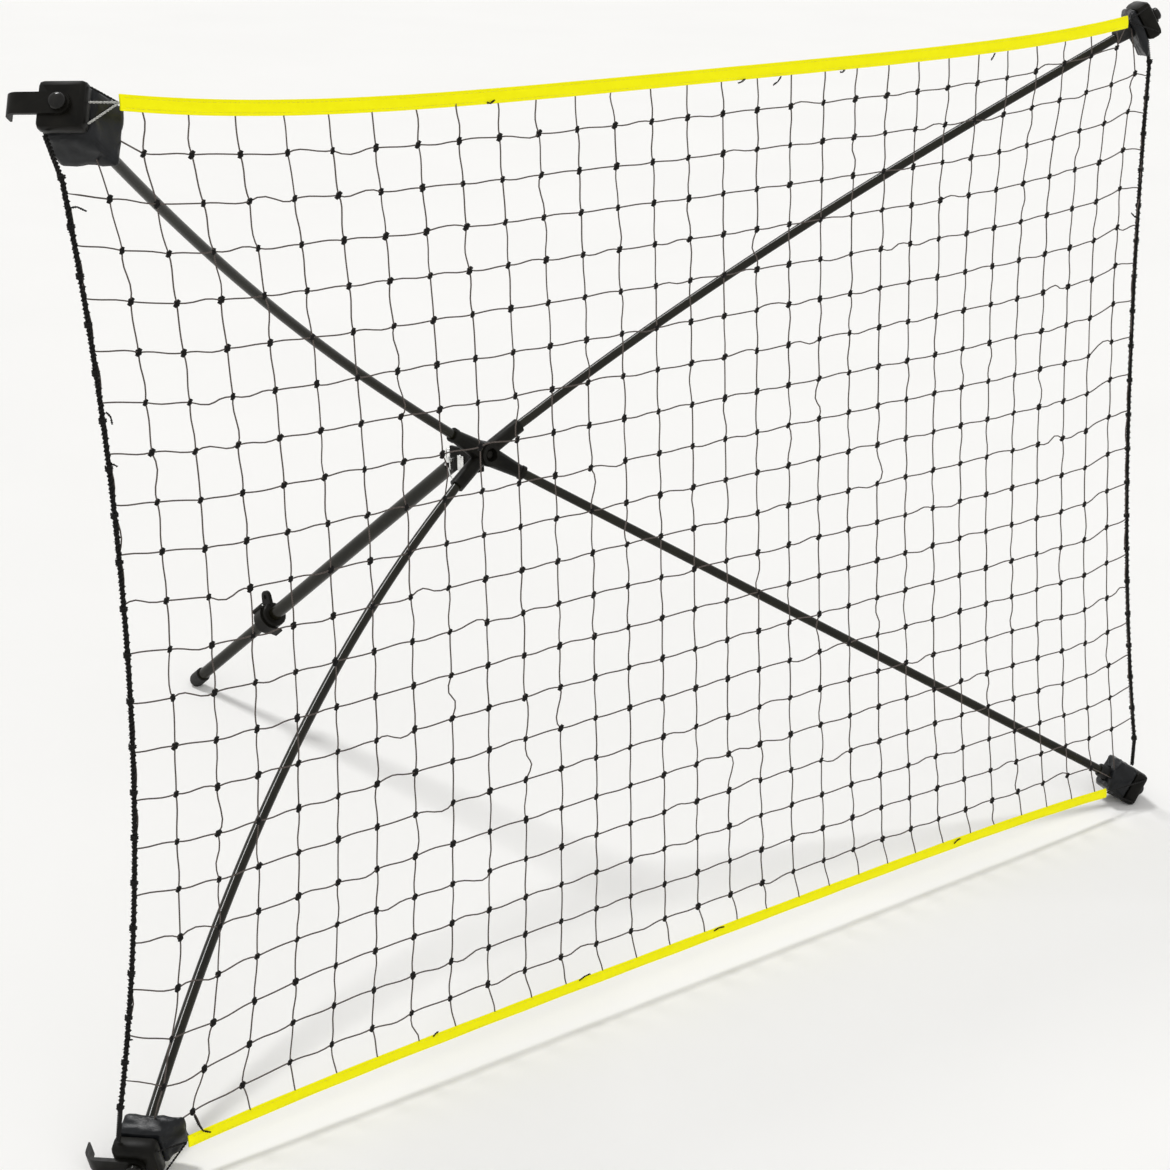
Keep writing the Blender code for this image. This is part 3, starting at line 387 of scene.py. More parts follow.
def scaled(tree, vector, factor):
    """A vector made longer or shorter."""
    return add(tree, "ShaderNodeVectorMath", {0: vector, "Scale": factor}, operation="SCALE").outputs[0]


def joined(tree, parts):
    """Several shapes or lines as one."""
    together = add(tree, "GeometryNodeJoinGeometry")
    for part in parts:
        tree.links.new(part, together.inputs["Geometry"])
    return together.outputs[0]


def set_on(tree, points, piece, turn, size=(1.0, 1.0, 1.0)):
    """A copy of a piece on every point."""
    return add(tree, "GeometryNodeInstanceOnPoints",
               {"Points": points, "Instance": piece, "Rotation": turn, "Scale": size}).outputs[0]


# %% [markdown]
# The net is 31 cells wide and 22 high. Its sides and edges bow in between the corners, and each corner flares
# by its own amount. The same rule places the tapes, the ropes and every knot.

# %% The net's rule
COLUMNS, ROWS = 31, 22
NET_DROP = 0.0086
COLUMN_REACH, COLUMN_FLARE = 0.7754, 0.0430
ROW_REACH, ROW_FLARE = 0.5100, 0.0157
SIDE_REACH = {-1: 0.7570, 1: 0.7510}
EDGE_REACH = {1: 0.4900, -1: 0.4859}
SIDE_FLARE = {(-1, 1): 0.0450, (1, 1): 0.0280, (-1, -1): 0.0580, (1, -1): 0.0450}
EDGE_FLARE = {(-1, 1): 0.0400, (1, 1): 0.0233, (-1, -1): 0.0160, (1, -1): 0.0160}
CORNERS = {"tl": (-1, 1), "tr": (1, 1), "bl": (-1, -1), "br": (1, -1)}


def corner_at(side, up):
    """The name of a corner, from its side and its end, each -1 or 1."""
    return next(name for name, place in CORNERS.items() if place == (side, up))


def net_point(u, v):
    """A point of the net, from -1 to 1 across and up."""
    side = 1 if u > 0 else -1
    up = 1 if v > 0 else -1
    middle = (1 - u * u) * (COLUMN_REACH + COLUMN_FLARE * v * v)
    half_width = middle + u * u * (SIDE_REACH[side] + SIDE_FLARE[side, up] * v * v)
    edge = EDGE_REACH[up] + EDGE_FLARE[side, up] * u**4
    half_height = (1 - v * v) * (ROW_REACH + ROW_FLARE * u * u) + v * v * edge
    return Vector((u * half_width, 0.0, v * half_height - NET_DROP))


print("net", [round(2 * net_point(1, 0).x, 3), round(net_point(0, 1).z - net_point(0, -1).z, 3)], "m")

# %% [markdown]
# The corner fittings are placed by their swivel joints: each joint's axis runs out along its rod, through
# the middle of the fitting. Level across it is its +X, and +Y points up.

# %% Axes of the corner fittings
BODY_SIZE, BODY_FRONT, BODY_BACK, BODY_ROUND = 0.0460, 0.0140, 0.0060, 0.0060
GAP = 0.0003
KNOB_RISE = -0.0010
lean_back = TILT.to_3x3()


def corner_axes(corner):
    """Axes of one corner's fitting, in the leaning frame's coordinates."""
    side, up = CORNERS[corner]
    joint = joints["hook_swivel_" + corner]
    out = (lean_back.inverted() @ Vector(joint["axis"])).normalized()
    across = Vector((-out.y, out.x, 0.0)).normalized()
    upward = out.cross(across)
    centre = TILT.inverted() @ Vector(joint["pos_m"]) - out * (BODY_FRONT + GAP) - upward * up * KNOB_RISE
    made = Matrix((across, upward, out)).transposed().to_4x4()
    made.translation = centre
    return made


units = {corner: corner_axes(corner) for corner in CORNERS}
for corner, axes in units.items():
    print(corner, "fitting at", [round(value, 3) for value in axes.translation])

# %% [markdown]
# The strands could be one wireframe of the grid, but that gives straight sticks. Real twine is a little slack
# between its knots. So each edge of the grid becomes its own short curve, which is pushed aside by two sines
# that are zero at both knots, by a random amount for each strand. A few strands are much looser than the
# rest: each strand's random share is raised to a high power, so that most stay near the least.


# %% Helpers for random amounts
def random_vector(tree, seed, least, most):
    """A random vector between two limits, for each point."""
    return add(tree, "FunctionNodeRandomValue", {0: least, 1: most, "Seed": seed},
               data_type="FLOAT_VECTOR").outputs[0]


def random_number(tree, seed, least, most):
    """A random number between two limits, for each point."""
    return add(tree, "FunctionNodeRandomValue", {2: least, 3: most, "Seed": seed}).outputs[1]


def per_strand(tree, value, kind="FLOAT"):
    """A value that is the same along the whole of a strand."""
    return add(tree, "GeometryNodeFieldOnDomain", {0: value}, domain="CURVE", data_type=kind).outputs[0]


# %% Tree of the net's strands
STRAND_RADIUS, STRAND_SLACK = 0.00078, 0.0014
STRAND_POINTS, STRAND_SIDES = 7, 6
PUSH_MOST = Vector((1.0, 0.6, 1.0))
# Each bend: its turns along the strand, its share of the slack, and what it adds to the seed.
BENDS = ((0.5, 1.0, 0), (1.0, 0.8, 1))
LOOSE_POWER, LOOSE_MORE, LOOSE_LEAST, LOOSE_SEED = 6.0, 3.0, 0.8, 7

tree, given = open_tree("net_strands", Radius=STRAND_RADIUS, Slack=STRAND_SLACK, Seed=4, Material=net_twine)
strands = add(tree, "GeometryNodeMeshToCurve", {"Mesh": given["Geometry"]}).outputs["Curve"]
strands = add(tree, "GeometryNodeResampleCurve", {"Curve": strands, "Count": STRAND_POINTS}).outputs["Curve"]
share = add(tree, "GeometryNodeSplineParameter").outputs["Factor"]
pushes = []
for turns, amount, more in BENDS:
    phase = maths(tree, share, 2 * math.pi * turns)
    wave = add(tree, "ShaderNodeMath", {0: phase}, operation="SINE").outputs[0]
    way = random_vector(tree, maths(tree, given["Seed"], more, "ADD"), -PUSH_MOST, PUSH_MOST)
    size = maths(tree, maths(tree, wave, given["Slack"]), amount)
    pushes.append(scaled(tree, per_strand(tree, way, "FLOAT_VECTOR"), size))
push = add(tree, "ShaderNodeVectorMath", {0: pushes[0], 1: pushes[1]}, operation="ADD").outputs[0]
loose = per_strand(tree, random_number(tree, maths(tree, given["Seed"], LOOSE_SEED, "ADD"), 0.0, 1.0))
loose = maths(tree, maths(tree, maths(tree, loose, LOOSE_POWER, "POWER"), LOOSE_MORE), LOOSE_LEAST, "ADD")
push = scaled(tree, push, loose)
strands = add(tree, "GeometryNodeSetPosition", {"Geometry": strands, "Offset": push}).outputs[0]
close_tree(tree, swept(tree, strands, circle(tree, STRAND_SIDES, given["Radius"])))
strand_tree = tree

# %% [markdown]
# A knot is where two strands loop round each other. Seen close, it is a small ring with a slanted bar
# through it. One such knot is made inside the tree and set on every crossing, each turned and sized a little
# differently. The sizes of its ring and bar are shares of the knot's own size.

# %% Tree of the knots
KNOT_SIZE = 0.0037
RING_RADIUS, RING_THICK, RING_SIDES = 0.55, 0.34, 8
RING_TURN = (math.radians(78), 0.0, 0.3)
BAR_END, BAR_THICK, BAR_POINTS = Vector((1.0, -0.15, 0.3)), 0.5, 4
KNOT_SIDES = 5
TURN_LEAST, TURN_MOST = (-0.25, -1.1, -0.25), (0.25, -0.5, 0.25)
SIZE_LEAST, SIZE_MOST = 0.85, 1.12

tree, given = open_tree("net_knots", Size=KNOT_SIZE, Seed=9, Material=black_twine)
crossings = add(tree, "GeometryNodeMeshToPoints", {"Mesh": given["Geometry"]}).outputs["Points"]
ring = swept(tree, circle(tree, RING_SIDES, RING_RADIUS), circle(tree, KNOT_SIDES, RING_THICK), False)
ring = add(tree, "GeometryNodeTransform", {"Geometry": ring, "Rotation": RING_TURN}).outputs[0]
bar = add(tree, "GeometryNodeCurvePrimitiveLine", {"Start": -BAR_END, "End": BAR_END}).outputs[0]
bar = add(tree, "GeometryNodeResampleCurve", {"Curve": bar, "Count": BAR_POINTS}).outputs[0]
bar = swept(tree, bar, circle(tree, KNOT_SIDES, BAR_THICK))
turn = random_vector(tree, given["Seed"], TURN_LEAST, TURN_MOST)
large = maths(tree, random_number(tree, given["Seed"], SIZE_LEAST, SIZE_MOST), given["Size"])
close_tree(tree, set_on(tree, crossings, joined(tree, (ring, bar)), turn, large))
knot_tree = tree

# %% [markdown]
# A hand-laced net is never even. Down the sides the rows are laced a little higher than the rule has them,
# near the corners the cells are drawn towards the fittings, and along the bottom the last strands slant. Each
# such pull is strongest at one crossing and fades over a few cells. At each corner the crossing nearest the
# fitting is drawn into the boot, so its two strands come out at the boot's edges.

# %% The places of the crossings
DRAWN_IN = {"tl": (-0.004, 0.004, -0.030), "tr": (-0.004, 0.010, -0.012),
            "bl": (-0.004, 0.004, -0.020), "br": (-0.004, 0.004, -0.020)}
ROPE_RISE = {-1: 0.0105, 1: 0.0150}
# Each pull: its column and row, how many cells it reaches across and up, and how far it draws them in metres,
# across and up.
PULLS = [(30.6, 14, 1.1, 12, 0.0, 0.0185), (29, 21, 3, 5, 0.0, 0.014), (30, 21, 5, 1.8, 0.021, 0.0),
         (29, 14, 4, 12, 0.006, 0.0), (0.2, 13, 1.0, 14, 0.0, 0.0115), (2, 21, 2.5, 1.2, -0.009, 0.0),
         (1, 2, 2.0, 2.6, 0.0, -0.019), (1, 4.5, 1.5, 1.6, 0.007, 0.0), (2, 1, 1.2, 1.0, -0.014, 0.0),
         (7, 0, 22, 0.5, 0.011, 0.0)]


def drawn_point(column, row):
    """A crossing with all pulls on it. On the rope it only slides along, and on the tape it stays in line."""
    across = along = 0.0
    for centre, level, wide, high, sideways, upwards in PULLS:
        fade = math.exp(-(((column - centre) / wide) ** 2) - ((row - level) / high) ** 2)
        across += fade * sideways
        along += fade * upwards
    if column in (0, COLUMNS):
        across, along = 0.0, ROPE_RISE[1 if column else -1]
    if row in (0, ROWS):
        along = 0.0
    return net_point(2 * column / COLUMNS - 1 + across / COLUMN_REACH, 2 * row / ROWS - 1 + along / ROW_REACH)


def crossing_point(column, row):
    """Where two strands cross. The crossing nearest a corner lies inside the boot."""
    side = {1: -1, COLUMNS - 1: 1}.get(column)
    up = {1: -1, ROWS - 1: 1}.get(row)
    if side and up:
        corner = corner_at(side, up)
        x, y, z = DRAWN_IN[corner]
        return units[corner] @ Vector((side * x, up * y, z))
    return drawn_point(column, row)


print("middle crossing at", [round(value, 3) for value in crossing_point(COLUMNS // 2, ROWS // 2)])

# %% [markdown]
# The grid itself has no faces, only the edges that are twine. Along the top and bottom the tape takes the
# border's place. Down the sides a border strand hangs beside the rope in shallow loops, except next to the
# corners.

# %% Helpers for the grid
BORDER_SAG = 0.0030
BORDER_STEPS = 6


def near_corner(column, row, reach):
    """Whether a crossing is within so many cells of a corner, both across and up."""
    return min(column, COLUMNS - column) <= reach and min(row, ROWS - row) <= reach


def border_loop(shape, lower, upper, side):
    """A strand beside the rope from one crossing to the next, hanging a little inwards."""
    before = lower
    for step in range(1, BORDER_STEPS):
        share = step / BORDER_STEPS
        place = lower.co.lerp(upper.co, share)
        place.x -= side * BORDER_SAG * math.sin(math.pi * share)
        vertex = shape.verts.new(place)
        shape.edges.new((before, vertex))
        before = vertex
    shape.edges.new((before, upper))


# %% The grid that the net grows on
def join_crossings(shape, made):
    """The strands from each crossing to the next one across and the next one up."""
    for (column, row), vertex in made.items():
        for beyond in ((column + 1, row), (column, row + 1)):
            in_corner = near_corner(column, row, 1) and near_corner(*beyond, 1)
            if beyond not in made or in_corner or row == beyond[1] and row in (0, ROWS):
                continue
            if column == beyond[0] and column in (0, COLUMNS):
                if not near_corner(column, row, 1) and not near_corner(*beyond, 1):
                    border_loop(shape, vertex, made[beyond], 1 if column else -1)
            else:
                shape.edges.new((vertex, made[beyond]))


def mesh_of(shape, name):
    """The mesh of a shape that is finished."""
    mesh = bpy.data.meshes.new(name)
    shape.to_mesh(mesh)
    shape.free()
    return mesh


def grid_object(inner_only):
    """The crossings of the net, with the strands between them or only the crossings inside the border."""
    shape = bmesh.new()
    made = {}
    for column in range(COLUMNS + 1):
        for row in range(ROWS + 1):
            border = column in (0, COLUMNS) or row in (0, ROWS)
            if near_corner(column, row, 0) or (inner_only and (border or near_corner(column, row, 1))):
                continue
            made[column, row] = shape.verts.new(crossing_point(column, row))
    if not inner_only:
        join_crossings(shape, made)
    return scene_object("grid", mesh_of(shape, "grid"))


# %% [markdown]
# Now the net can grow. The strands stand for the net's solid, and the knots come with them.

# %% Grow the net
net_strands = grow("net_strands", grid_object(False), strand_tree)
net_knots = grow("net_knots", grid_object(True), knot_tree)
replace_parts(net_strands, "net_mesh")
for piece in (net_strands, net_knots):
    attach(piece, "frame")

# %% [markdown]
# Rope is laid from three strands here and cord from two, and the lacing is a single one. A tube with a
# painted twist looks flat at its edge, so the tree sweeps that many small circles along the path and twists
# them as it goes.

# %% Tree of laid cord
ROPE_RADIUS = 0.0025
CORD_STEP = 0.0018


def laid_cord_tree(name, sides, plies=3, away=0.52, thick=0.5, pitch=0.012):
    """Plies that twist round the path. Their distance from it and thickness are shares of the radius."""
    tree, given = open_tree(name, Radius=ROPE_RADIUS, Pitch=pitch, Step=CORD_STEP, Material=black_twine)
    line = add(tree, "GeometryNodeResampleCurve", {"Curve": given["Geometry"], "Length": given["Step"]},
               mode="LENGTH").outputs[0]
    length = add(tree, "GeometryNodeSplineParameter").outputs["Length"]
    turns = maths(tree, maths(tree, length, given["Pitch"], "DIVIDE"), 2 * math.pi)
    line = add(tree, "GeometryNodeSetCurveTilt", {"Curve": line, "Tilt": turns}).outputs[0]
    one = circle(tree, sides, maths(tree, given["Radius"], thick))
    around = []
    for number in range(plies):
        angle = 2 * math.pi * number / plies
        shift = scaled(tree, (math.cos(angle) * away, math.sin(angle) * away, 0.0), given["Radius"])
        around.append(add(tree, "GeometryNodeTransform", {"Geometry": one, "Translation": shift}).outputs[0])
    close_tree(tree, swept(tree, line, joined(tree, around)))
    return tree


rope_tree = laid_cord_tree("laid_rope", sides=6)

# %% [markdown]
# The side ropes are laced to the net with one long thin cord, wound round the rope all the way down. That
# gives the rope its toothed outline. At each row the lacing is pulled tight in a short coil.

# %% Trees of the lacing
LACE_RADIUS, LACE_SIDES, LACE_PITCH = 0.0009, 5, 0.0078
COIL_INSIDE, COIL_TURNS, COIL_POINTS = 0.0024, 2.4, 9
# How far the lace lies from the rope's middle, in rope radii, and the coil's height, in radii of its cord.
LACE_AWAY, COIL_HEIGHT = 1.20, 5.0

lace_tree = laid_cord_tree("side_lacing", LACE_SIDES, plies=1, away=LACE_AWAY,
                           thick=LACE_RADIUS / ROPE_RADIUS, pitch=LACE_PITCH)
tree, given = open_tree("row_coils", Count=ROWS - 1, Rope_radius=COIL_INSIDE, Cord_radius=LACE_RADIUS,
                        Material=black_twine)
spots = add(tree, "GeometryNodeCurveToPoints", {"Curve": given["Geometry"], "Count": given["Count"]},
            mode="COUNT")
wide = maths(tree, given["Rope radius"], given["Cord radius"], "ADD")
height = maths(tree, given["Cord radius"], COIL_HEIGHT)
coil = add(tree, "GeometryNodeCurveSpiral",
           {"Resolution": COIL_POINTS, "Rotations": COIL_TURNS, "Start Radius": wide, "End Radius": wide,
            "Height": height}).outputs[0]
coil = swept(tree, coil, circle(tree, LACE_SIDES, given["Cord radius"]))
close_tree(tree, set_on(tree, spots.outputs["Points"], coil, spots.outputs["Rotation"]))
coil_tree = tree

# %% [markdown]
# Each rope follows the net's side up to a set height of the real net, and then leads into the moulding. The
# share of the side where that height is reached is found by halving.

# %% The side ropes
ROPE_HALF_LENGTH = 0.4450
ROPE_STEPS = 44
# The plies stand out a little further than the plain rope of the solid.
ROPE_FULLNESS = 1.1
HALVINGS = 30


def share_where(reaches):
    """The share from 0 to 1 at which a rising test first holds, by halving."""
    low, high = 0.0, 1.0
    for _ in range(HALVINGS):
        middle = (low + high) / 2
        if reaches(middle):
            high = middle
        else:
            low = middle
    return low


def rope_lead(side, up):
    """Where a side rope ends, at the moulding of its corner."""
    under = -up * (BODY_SIZE / 2 + ROPE_RADIUS + GAP)
    return units[corner_at(side, up)] @ Vector((side * BODY_SIZE / 3, under, BODY_BACK / 2))


for name, side in (("left", -1), ("right", 1)):
    low = -share_where(lambda share: abs(net_point(side, -share).z) > ROPE_HALF_LENGTH)
    high = share_where(lambda share: abs(net_point(side, share).z) > ROPE_HALF_LENGTH)
    along = [net_point(side, low + (high - low) * step / ROPE_STEPS) for step in range(ROPE_STEPS + 1)]
    path = [rope_lead(side, -1)] + along + [rope_lead(side, 1)]
    rope = grow(name + "_rope", line_object(path), rope_tree, Radius=ROPE_RADIUS * ROPE_FULLNESS)
    lacing = grow(name + "_lacing", line_object(along), lace_tree)
    coils = grow(name + "_coils", line_object(along), coil_tree)
    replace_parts(rope, name + "_edge_rope")
    for piece in (rope, lacing, coils):
        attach(piece, "frame")

# %% [markdown]
# Where a cord was knotted off, its end is left a little long. These short ends stick out of the ropes and of
# one crossing, and from under both tapes. Each is a short laid cord with a bend in it.

# %% The cut ends of twine
END_RADIUS = 0.0012
# How far to the front of the net an end starts, and how much further each next point lies.
END_OUT, END_STEP = 0.0022, 0.0008
# Each end's points, across and up the net.
ENDS = {"left_a": [(-0.7861, 0.4199), (-0.7790, 0.4205), (-0.7700, 0.4157)],
        "left_b": [(-0.7629, 0.2329), (-0.7590, 0.2280), (-0.7585, 0.2211)],
        "left_c": [(-0.7647, 0.1831), (-0.7600, 0.1845), (-0.7563, 0.1817)],
        "left_d": [(-0.7823, -0.3770), (-0.7875, -0.3760), (-0.7925, -0.3790)],
        "right": [(0.7549, 0.2540), (0.7480, 0.2565), (0.7402, 0.2617)],
        "corner": [(-0.7185, -0.4785), (-0.7150, -0.4890), (-0.7105, -0.4970), (-0.7025, -0.5010)],
        "bottom_a": [(-0.2112, -0.4890), (-0.2037, -0.4859), (-0.1963, -0.4851)],
        "bottom_b": [(-0.4177, -0.4900), (-0.4150, -0.4872), (-0.4120, -0.4856)],
        "bottom_c": [(-0.0030, -0.4905), (0.0038, -0.4884), (0.0113, -0.4890)],
        "bottom_d": [(0.4178, -0.4948), (0.4225, -0.4915), (0.4272, -0.4902)],
        "top_a": [(-0.2939, 0.4781), (-0.2992, 0.4752), (-0.3043, 0.4762)],
        "top_b": [(0.0578, 0.4746), (0.0524, 0.4722), (0.0464, 0.4712)],
        "top_c": [(0.1133, 0.4734), (0.1077, 0.4685), (0.0999, 0.4656)],
        "top_d": [(0.2143, 0.4738), (0.2105, 0.4716), (0.2060, 0.4722)],
        "top_e": [(0.4725, 0.4760), (0.4685, 0.4720), (0.4641, 0.4692)]}

end_tree = laid_cord_tree("cut_end", sides=5, plies=2, away=0.5, thick=0.6, pitch=0.0050)
for name, places in ENDS.items():
    path = [Vector((x, -END_OUT - END_STEP * number, z)) for number, (x, z) in enumerate(places)]
    cut = grow("cut_end_" + name, line_object(path), end_tree, Radius=END_RADIUS)
    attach(cut, "frame")

# %% [markdown]
# The top and bottom of the net are bound in yellow webbing, folded over the last row and sewn. The band is
# a sheet that follows the net's edge, slightly crowned and rippled, and Solidify gives it its thickness.

# %% The tapes
TAPE_HALF_LENGTH = 0.7260
TAPE_THICK, TAPE_EDGE = 0.0024, 0.0008
TAPE_STEPS, TAPE_ROWS = 124, 6
TAPE_CROWN, TAPE_RIPPLE = 0.0006, 0.0003
# The ripple's turn in radians, from the tape's middle to its end and to its edge.
RIPPLE_ALONG, RIPPLE_ACROSS = 40, 2


def tape_ends(up):
    """The share of the net's edge at which the tape ends, on each side."""
    return {side: share_where(lambda share: abs(net_point(side * share, up).x) > TAPE_HALF_LENGTH)
            for side in (-1, 1)}


def tape_middle(share, ends, up):
    """A point of the tape's middle line, from -1 at its left end to 1 at its right end."""
    return net_point(share * ends[1 if share > 0 else -1], up)


def tape_point(share, across, ends, up, width):
    """A point of the tape's sheet, from -1 to 1 along and across."""
    ripple = TAPE_RIPPLE * math.sin(share * RIPPLE_ALONG + across * RIPPLE_ACROSS)
    crown = TAPE_CROWN * (1 - across * across) + ripple
    return tape_middle(share, ends, up) + Vector((0.0, -crown, across * width / 2))


def tape_piece(name, up, width):
    """The webbing along one edge of the net, as a sheet with a UV map in metres and a thickness."""
    ends = tape_ends(up)
    shape = bmesh.new()
    layer = shape.loops.layers.uv.new("strand")
    grid = [[shape.verts.new(tape_point(2 * step / TAPE_STEPS - 1, 2 * row / TAPE_ROWS - 1, ends, up, width))
             for row in range(TAPE_ROWS + 1)] for step in range(TAPE_STEPS + 1)]
    for step in range(TAPE_STEPS):
        for row in range(TAPE_ROWS):
            corners = [(step, row), (step + 1, row), (step + 1, row + 1), (step, row + 1)]
            face = shape.faces.new([grid[x][y] for x, y in corners])
            face.smooth = True
            for loop, (x, y) in zip(face.loops, corners):
                loop[layer].uv = (grid[x][y].co.x, y * width / TAPE_ROWS)
    mesh = mesh_of(shape, name)
    mesh.materials.append(webbing)
    made = placed_object(name, mesh, TILT)
    solid = made.modifiers.new("thickness", "SOLIDIFY")
    solid.thickness = TAPE_THICK
    solid.offset = 0.0
    edge = made.modifiers.new("edge", "BEVEL")
    edge.width = TAPE_EDGE
    edge.segments = 2
    return made


# %% [markdown]
# Two rows of stitches hold each tape. A stitch is a short upright bar of thread, and the tree sets one at
# every step of the seam's line.

# %% Tree of the stitches
STITCH_STEP, STITCH_LENGTH, STITCH_RADIUS, STITCH_SIDES = 0.0055, 0.0036, 0.0003, 5
tree, given = open_tree("stitches", Step=STITCH_STEP, Length=STITCH_LENGTH, Radius=STITCH_RADIUS,
                        Material=thread)
spots = add(tree, "GeometryNodeCurveToPoints", {"Curve": given["Geometry"], "Length": given["Step"]},
            mode="LENGTH")
half = maths(tree, given["Length"], 0.5)
start = add(tree, "ShaderNodeCombineXYZ", {"Z": maths(tree, half, -1.0)}).outputs[0]
end = add(tree, "ShaderNodeCombineXYZ", {"Z": half}).outputs[0]
stitch = add(tree, "GeometryNodeCurvePrimitiveLine", {"Start": start, "End": end}).outputs[0]
ring = circle(tree, STITCH_SIDES, given["Radius"])
wires = {"Curve": stitch, "Profile Curve": ring, "Fill Caps": True}
stitch = add(tree, "GeometryNodeCurveToMesh", wires).outputs[0]
close_tree(tree, set_on(tree, spots.outputs["Points"], stitch, spots.outputs["Rotation"]))
stitch_tree = tree

# %% [markdown]
# The top tape is a little wider than the bottom one. The seams lie at the front of the webbing and stop
# short of its ends.

# %% The webbing and its seams
# Each tape: its name, which edge of the net it is on, and its width.
TAPES = (("top", 1, 0.0150), ("bottom", -1, 0.0125))
SEAM_OUT, SEAM_SPREAD, SEAM_SHARE = 0.0018, 0.62, 0.99

for name, up, width in TAPES:
    band = tape_piece(name + "_webbing", up, width)
    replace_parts(band, name + "_tape")
    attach(band, "frame")
    ends = tape_ends(up)
    shares = [SEAM_SHARE * (2 * step / TAPE_STEPS - 1) for step in range(TAPE_STEPS + 1)]
    for row, across in (("upper", 0.5), ("lower", -0.5)):
        aside = Vector((0.0, -SEAM_OUT, across * width * SEAM_SPREAD))
        line = [tape_middle(share, ends, up) + aside for share in shares]
        seam = grow(f"{name}_stitches_{row}", line_object(line), stitch_tree)
        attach(seam, "frame")

# %% [markdown]
# Each end of the tape is tied to its fitting. A black cord goes through the tape's end, out to the outer
# edge of the moulding and back to its inner edge. At the top left a second, pale cord does the same in a V.

# %% The corner ties
TIE_RADIUS = 0.0011
PALE_RADIUS = 0.0012
PALE_CORNER = "tl"
# The pale cord starts at this share of the way from the outer hold to the inner one, and lies in front.
PALE_START = 0.42
PALE_OUT = 2.4 * TIE_RADIUS


def tie_points(corner):
    """The two holds on the moulding, and the eyelet at the tape's end between them."""
    side, up = CORNERS[corner]
    beside = -side * (BODY_SIZE / 2 + TIE_RADIUS + GAP)
    rise = BODY_SIZE / 2 - BODY_ROUND
    eyelet = net_point(side * tape_ends(up)[side], up)
    eyelet.x += side * (TIE_RADIUS + 2 * GAP)
    holds = [units[corner] @ Vector((beside, up * height, BODY_FRONT - BODY_ROUND))
             for height in (rise, -rise)]
    return holds[0], eyelet, holds[1]


tie_tree = laid_cord_tree("tie_cord", sides=5, plies=2, away=0.55, thick=0.62, pitch=0.0065)
for corner in CORNERS:
    outer, eyelet, inner = tie_points(corner)
    cord = grow("tie_cord_" + corner, line_object([outer, eyelet, inner]), tie_tree, Radius=TIE_RADIUS)
    ties = [cord]
    if corner == PALE_CORNER:
        lift = Vector((0.0, -PALE_OUT, 0.0))
        middle = outer.lerp(inner, PALE_START)
        ties.append(grow("pale_tie", line_object([middle, eyelet + lift, inner + lift]), tie_tree,
                         Radius=PALE_RADIUS, Material=pale_twine))
    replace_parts(cord, "tie_" + corner)
    for piece in ties:
        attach(piece, "frame")

# %% [markdown]
# The four rods are straight in their sockets. Between hub and corner all but the bottom right one bow back.
# They are glass-fibre rods in a dark coat, and each is a circle swept along its bowed line.

# %% The rods
ROD_RADIUS, ROD_SIDES = 0.00575, 24
ROD_TIP_DEPTH = 0.0245
SOCKET_END, SOCKET_FLOOR = 0.0570, 0.0220
FERRULE_LENGTH, FERRULE_CAP = 0.0380, 0.0080
TIP_X = {"tl": 0.7670, "tr": 0.7760, "bl": 0.7670, "br": 0.7800}
TIP_Z = {"tl": 0.5040, "tr": 0.4896, "bl": 0.5120, "br": 0.5040}
BOW = {"tl": 0.0793, "tr": 0.0407, "bl": 0.0707, "br": -0.0010}
BOW_SKEW = {"tl": 0.19, "tr": 0.19, "bl": 0.14, "br": 0.0}
ROD_STEPS = 40
# The straight ends point along the rod's first and last stretch, up to and from these shares of it.
LEAVING, ARRIVING = 0.02, 0.97


def rod_point(corner, share):
    """A point on a rod's middle line, from the hub (0) to its tip (1)."""
    side, up = CORNERS[corner]
    tip = Vector((side * TIP_X[corner], ROD_TIP_DEPTH, up * TIP_Z[corner]))
    bow = BOW[corner] * 4 * share * (1 - share) * (1 + BOW_SKEW[corner] * (1 - 2 * share))
    return HUB.lerp(tip, share) + Vector((0.0, bow, 0.0))


def rod_path(corner):
    """A rod's middle line, from the floor of its socket over the bow to its tip."""
    tip = rod_point(corner, 1.0)
    from_hub = (rod_point(corner, LEAVING) - HUB).normalized()
    to_tip = (tip - rod_point(corner, ARRIVING)).normalized()
    length = (tip - HUB).length
    leave = SOCKET_END / length
    arrive = 1.0 - (FERRULE_LENGTH - FERRULE_CAP) / length
    path = [HUB + from_hub * (SOCKET_FLOOR + GAP), HUB + from_hub * SOCKET_END]
    path += [rod_point(corner, leave + (arrive - leave) * step / ROD_STEPS) for step in range(1, ROD_STEPS)]
    return path + [tip + to_tip * (FERRULE_CAP - FERRULE_LENGTH), tip]


tree, given = open_tree("round_bar", Radius=ROD_RADIUS, Sides=ROD_SIDES, Material=coat)
ring = circle(tree, given["Sides"], given["Radius"])
close_tree(tree, swept(tree, given["Geometry"], ring))
bar_tree = tree

for corner in CORNERS:
    bar = grow("rod_bar_" + corner, line_object(rod_path(corner)), bar_tree)
    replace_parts(bar, "rod_" + corner)
    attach(bar, "frame")

# %% [markdown]
# What is left are the moulded and turned pieces. A copy of each solid is merged into one skin, its edges
# are rounded a little, and it gets its finish. A hook and its screw are both faceted, so the screw's shank is
# thinned a little, and the hook turns freely round it.


# %% Helpers for the other solids
WELD = 0.00001
FLAT_ANGLE = 1.0
EDGE_WIDTH, EDGE_ANGLE = 0.0004, 32.0
SHANK_RADIUS = 0.0025
SHANK_EASE, SHANK_REACH = 0.92, 1.05


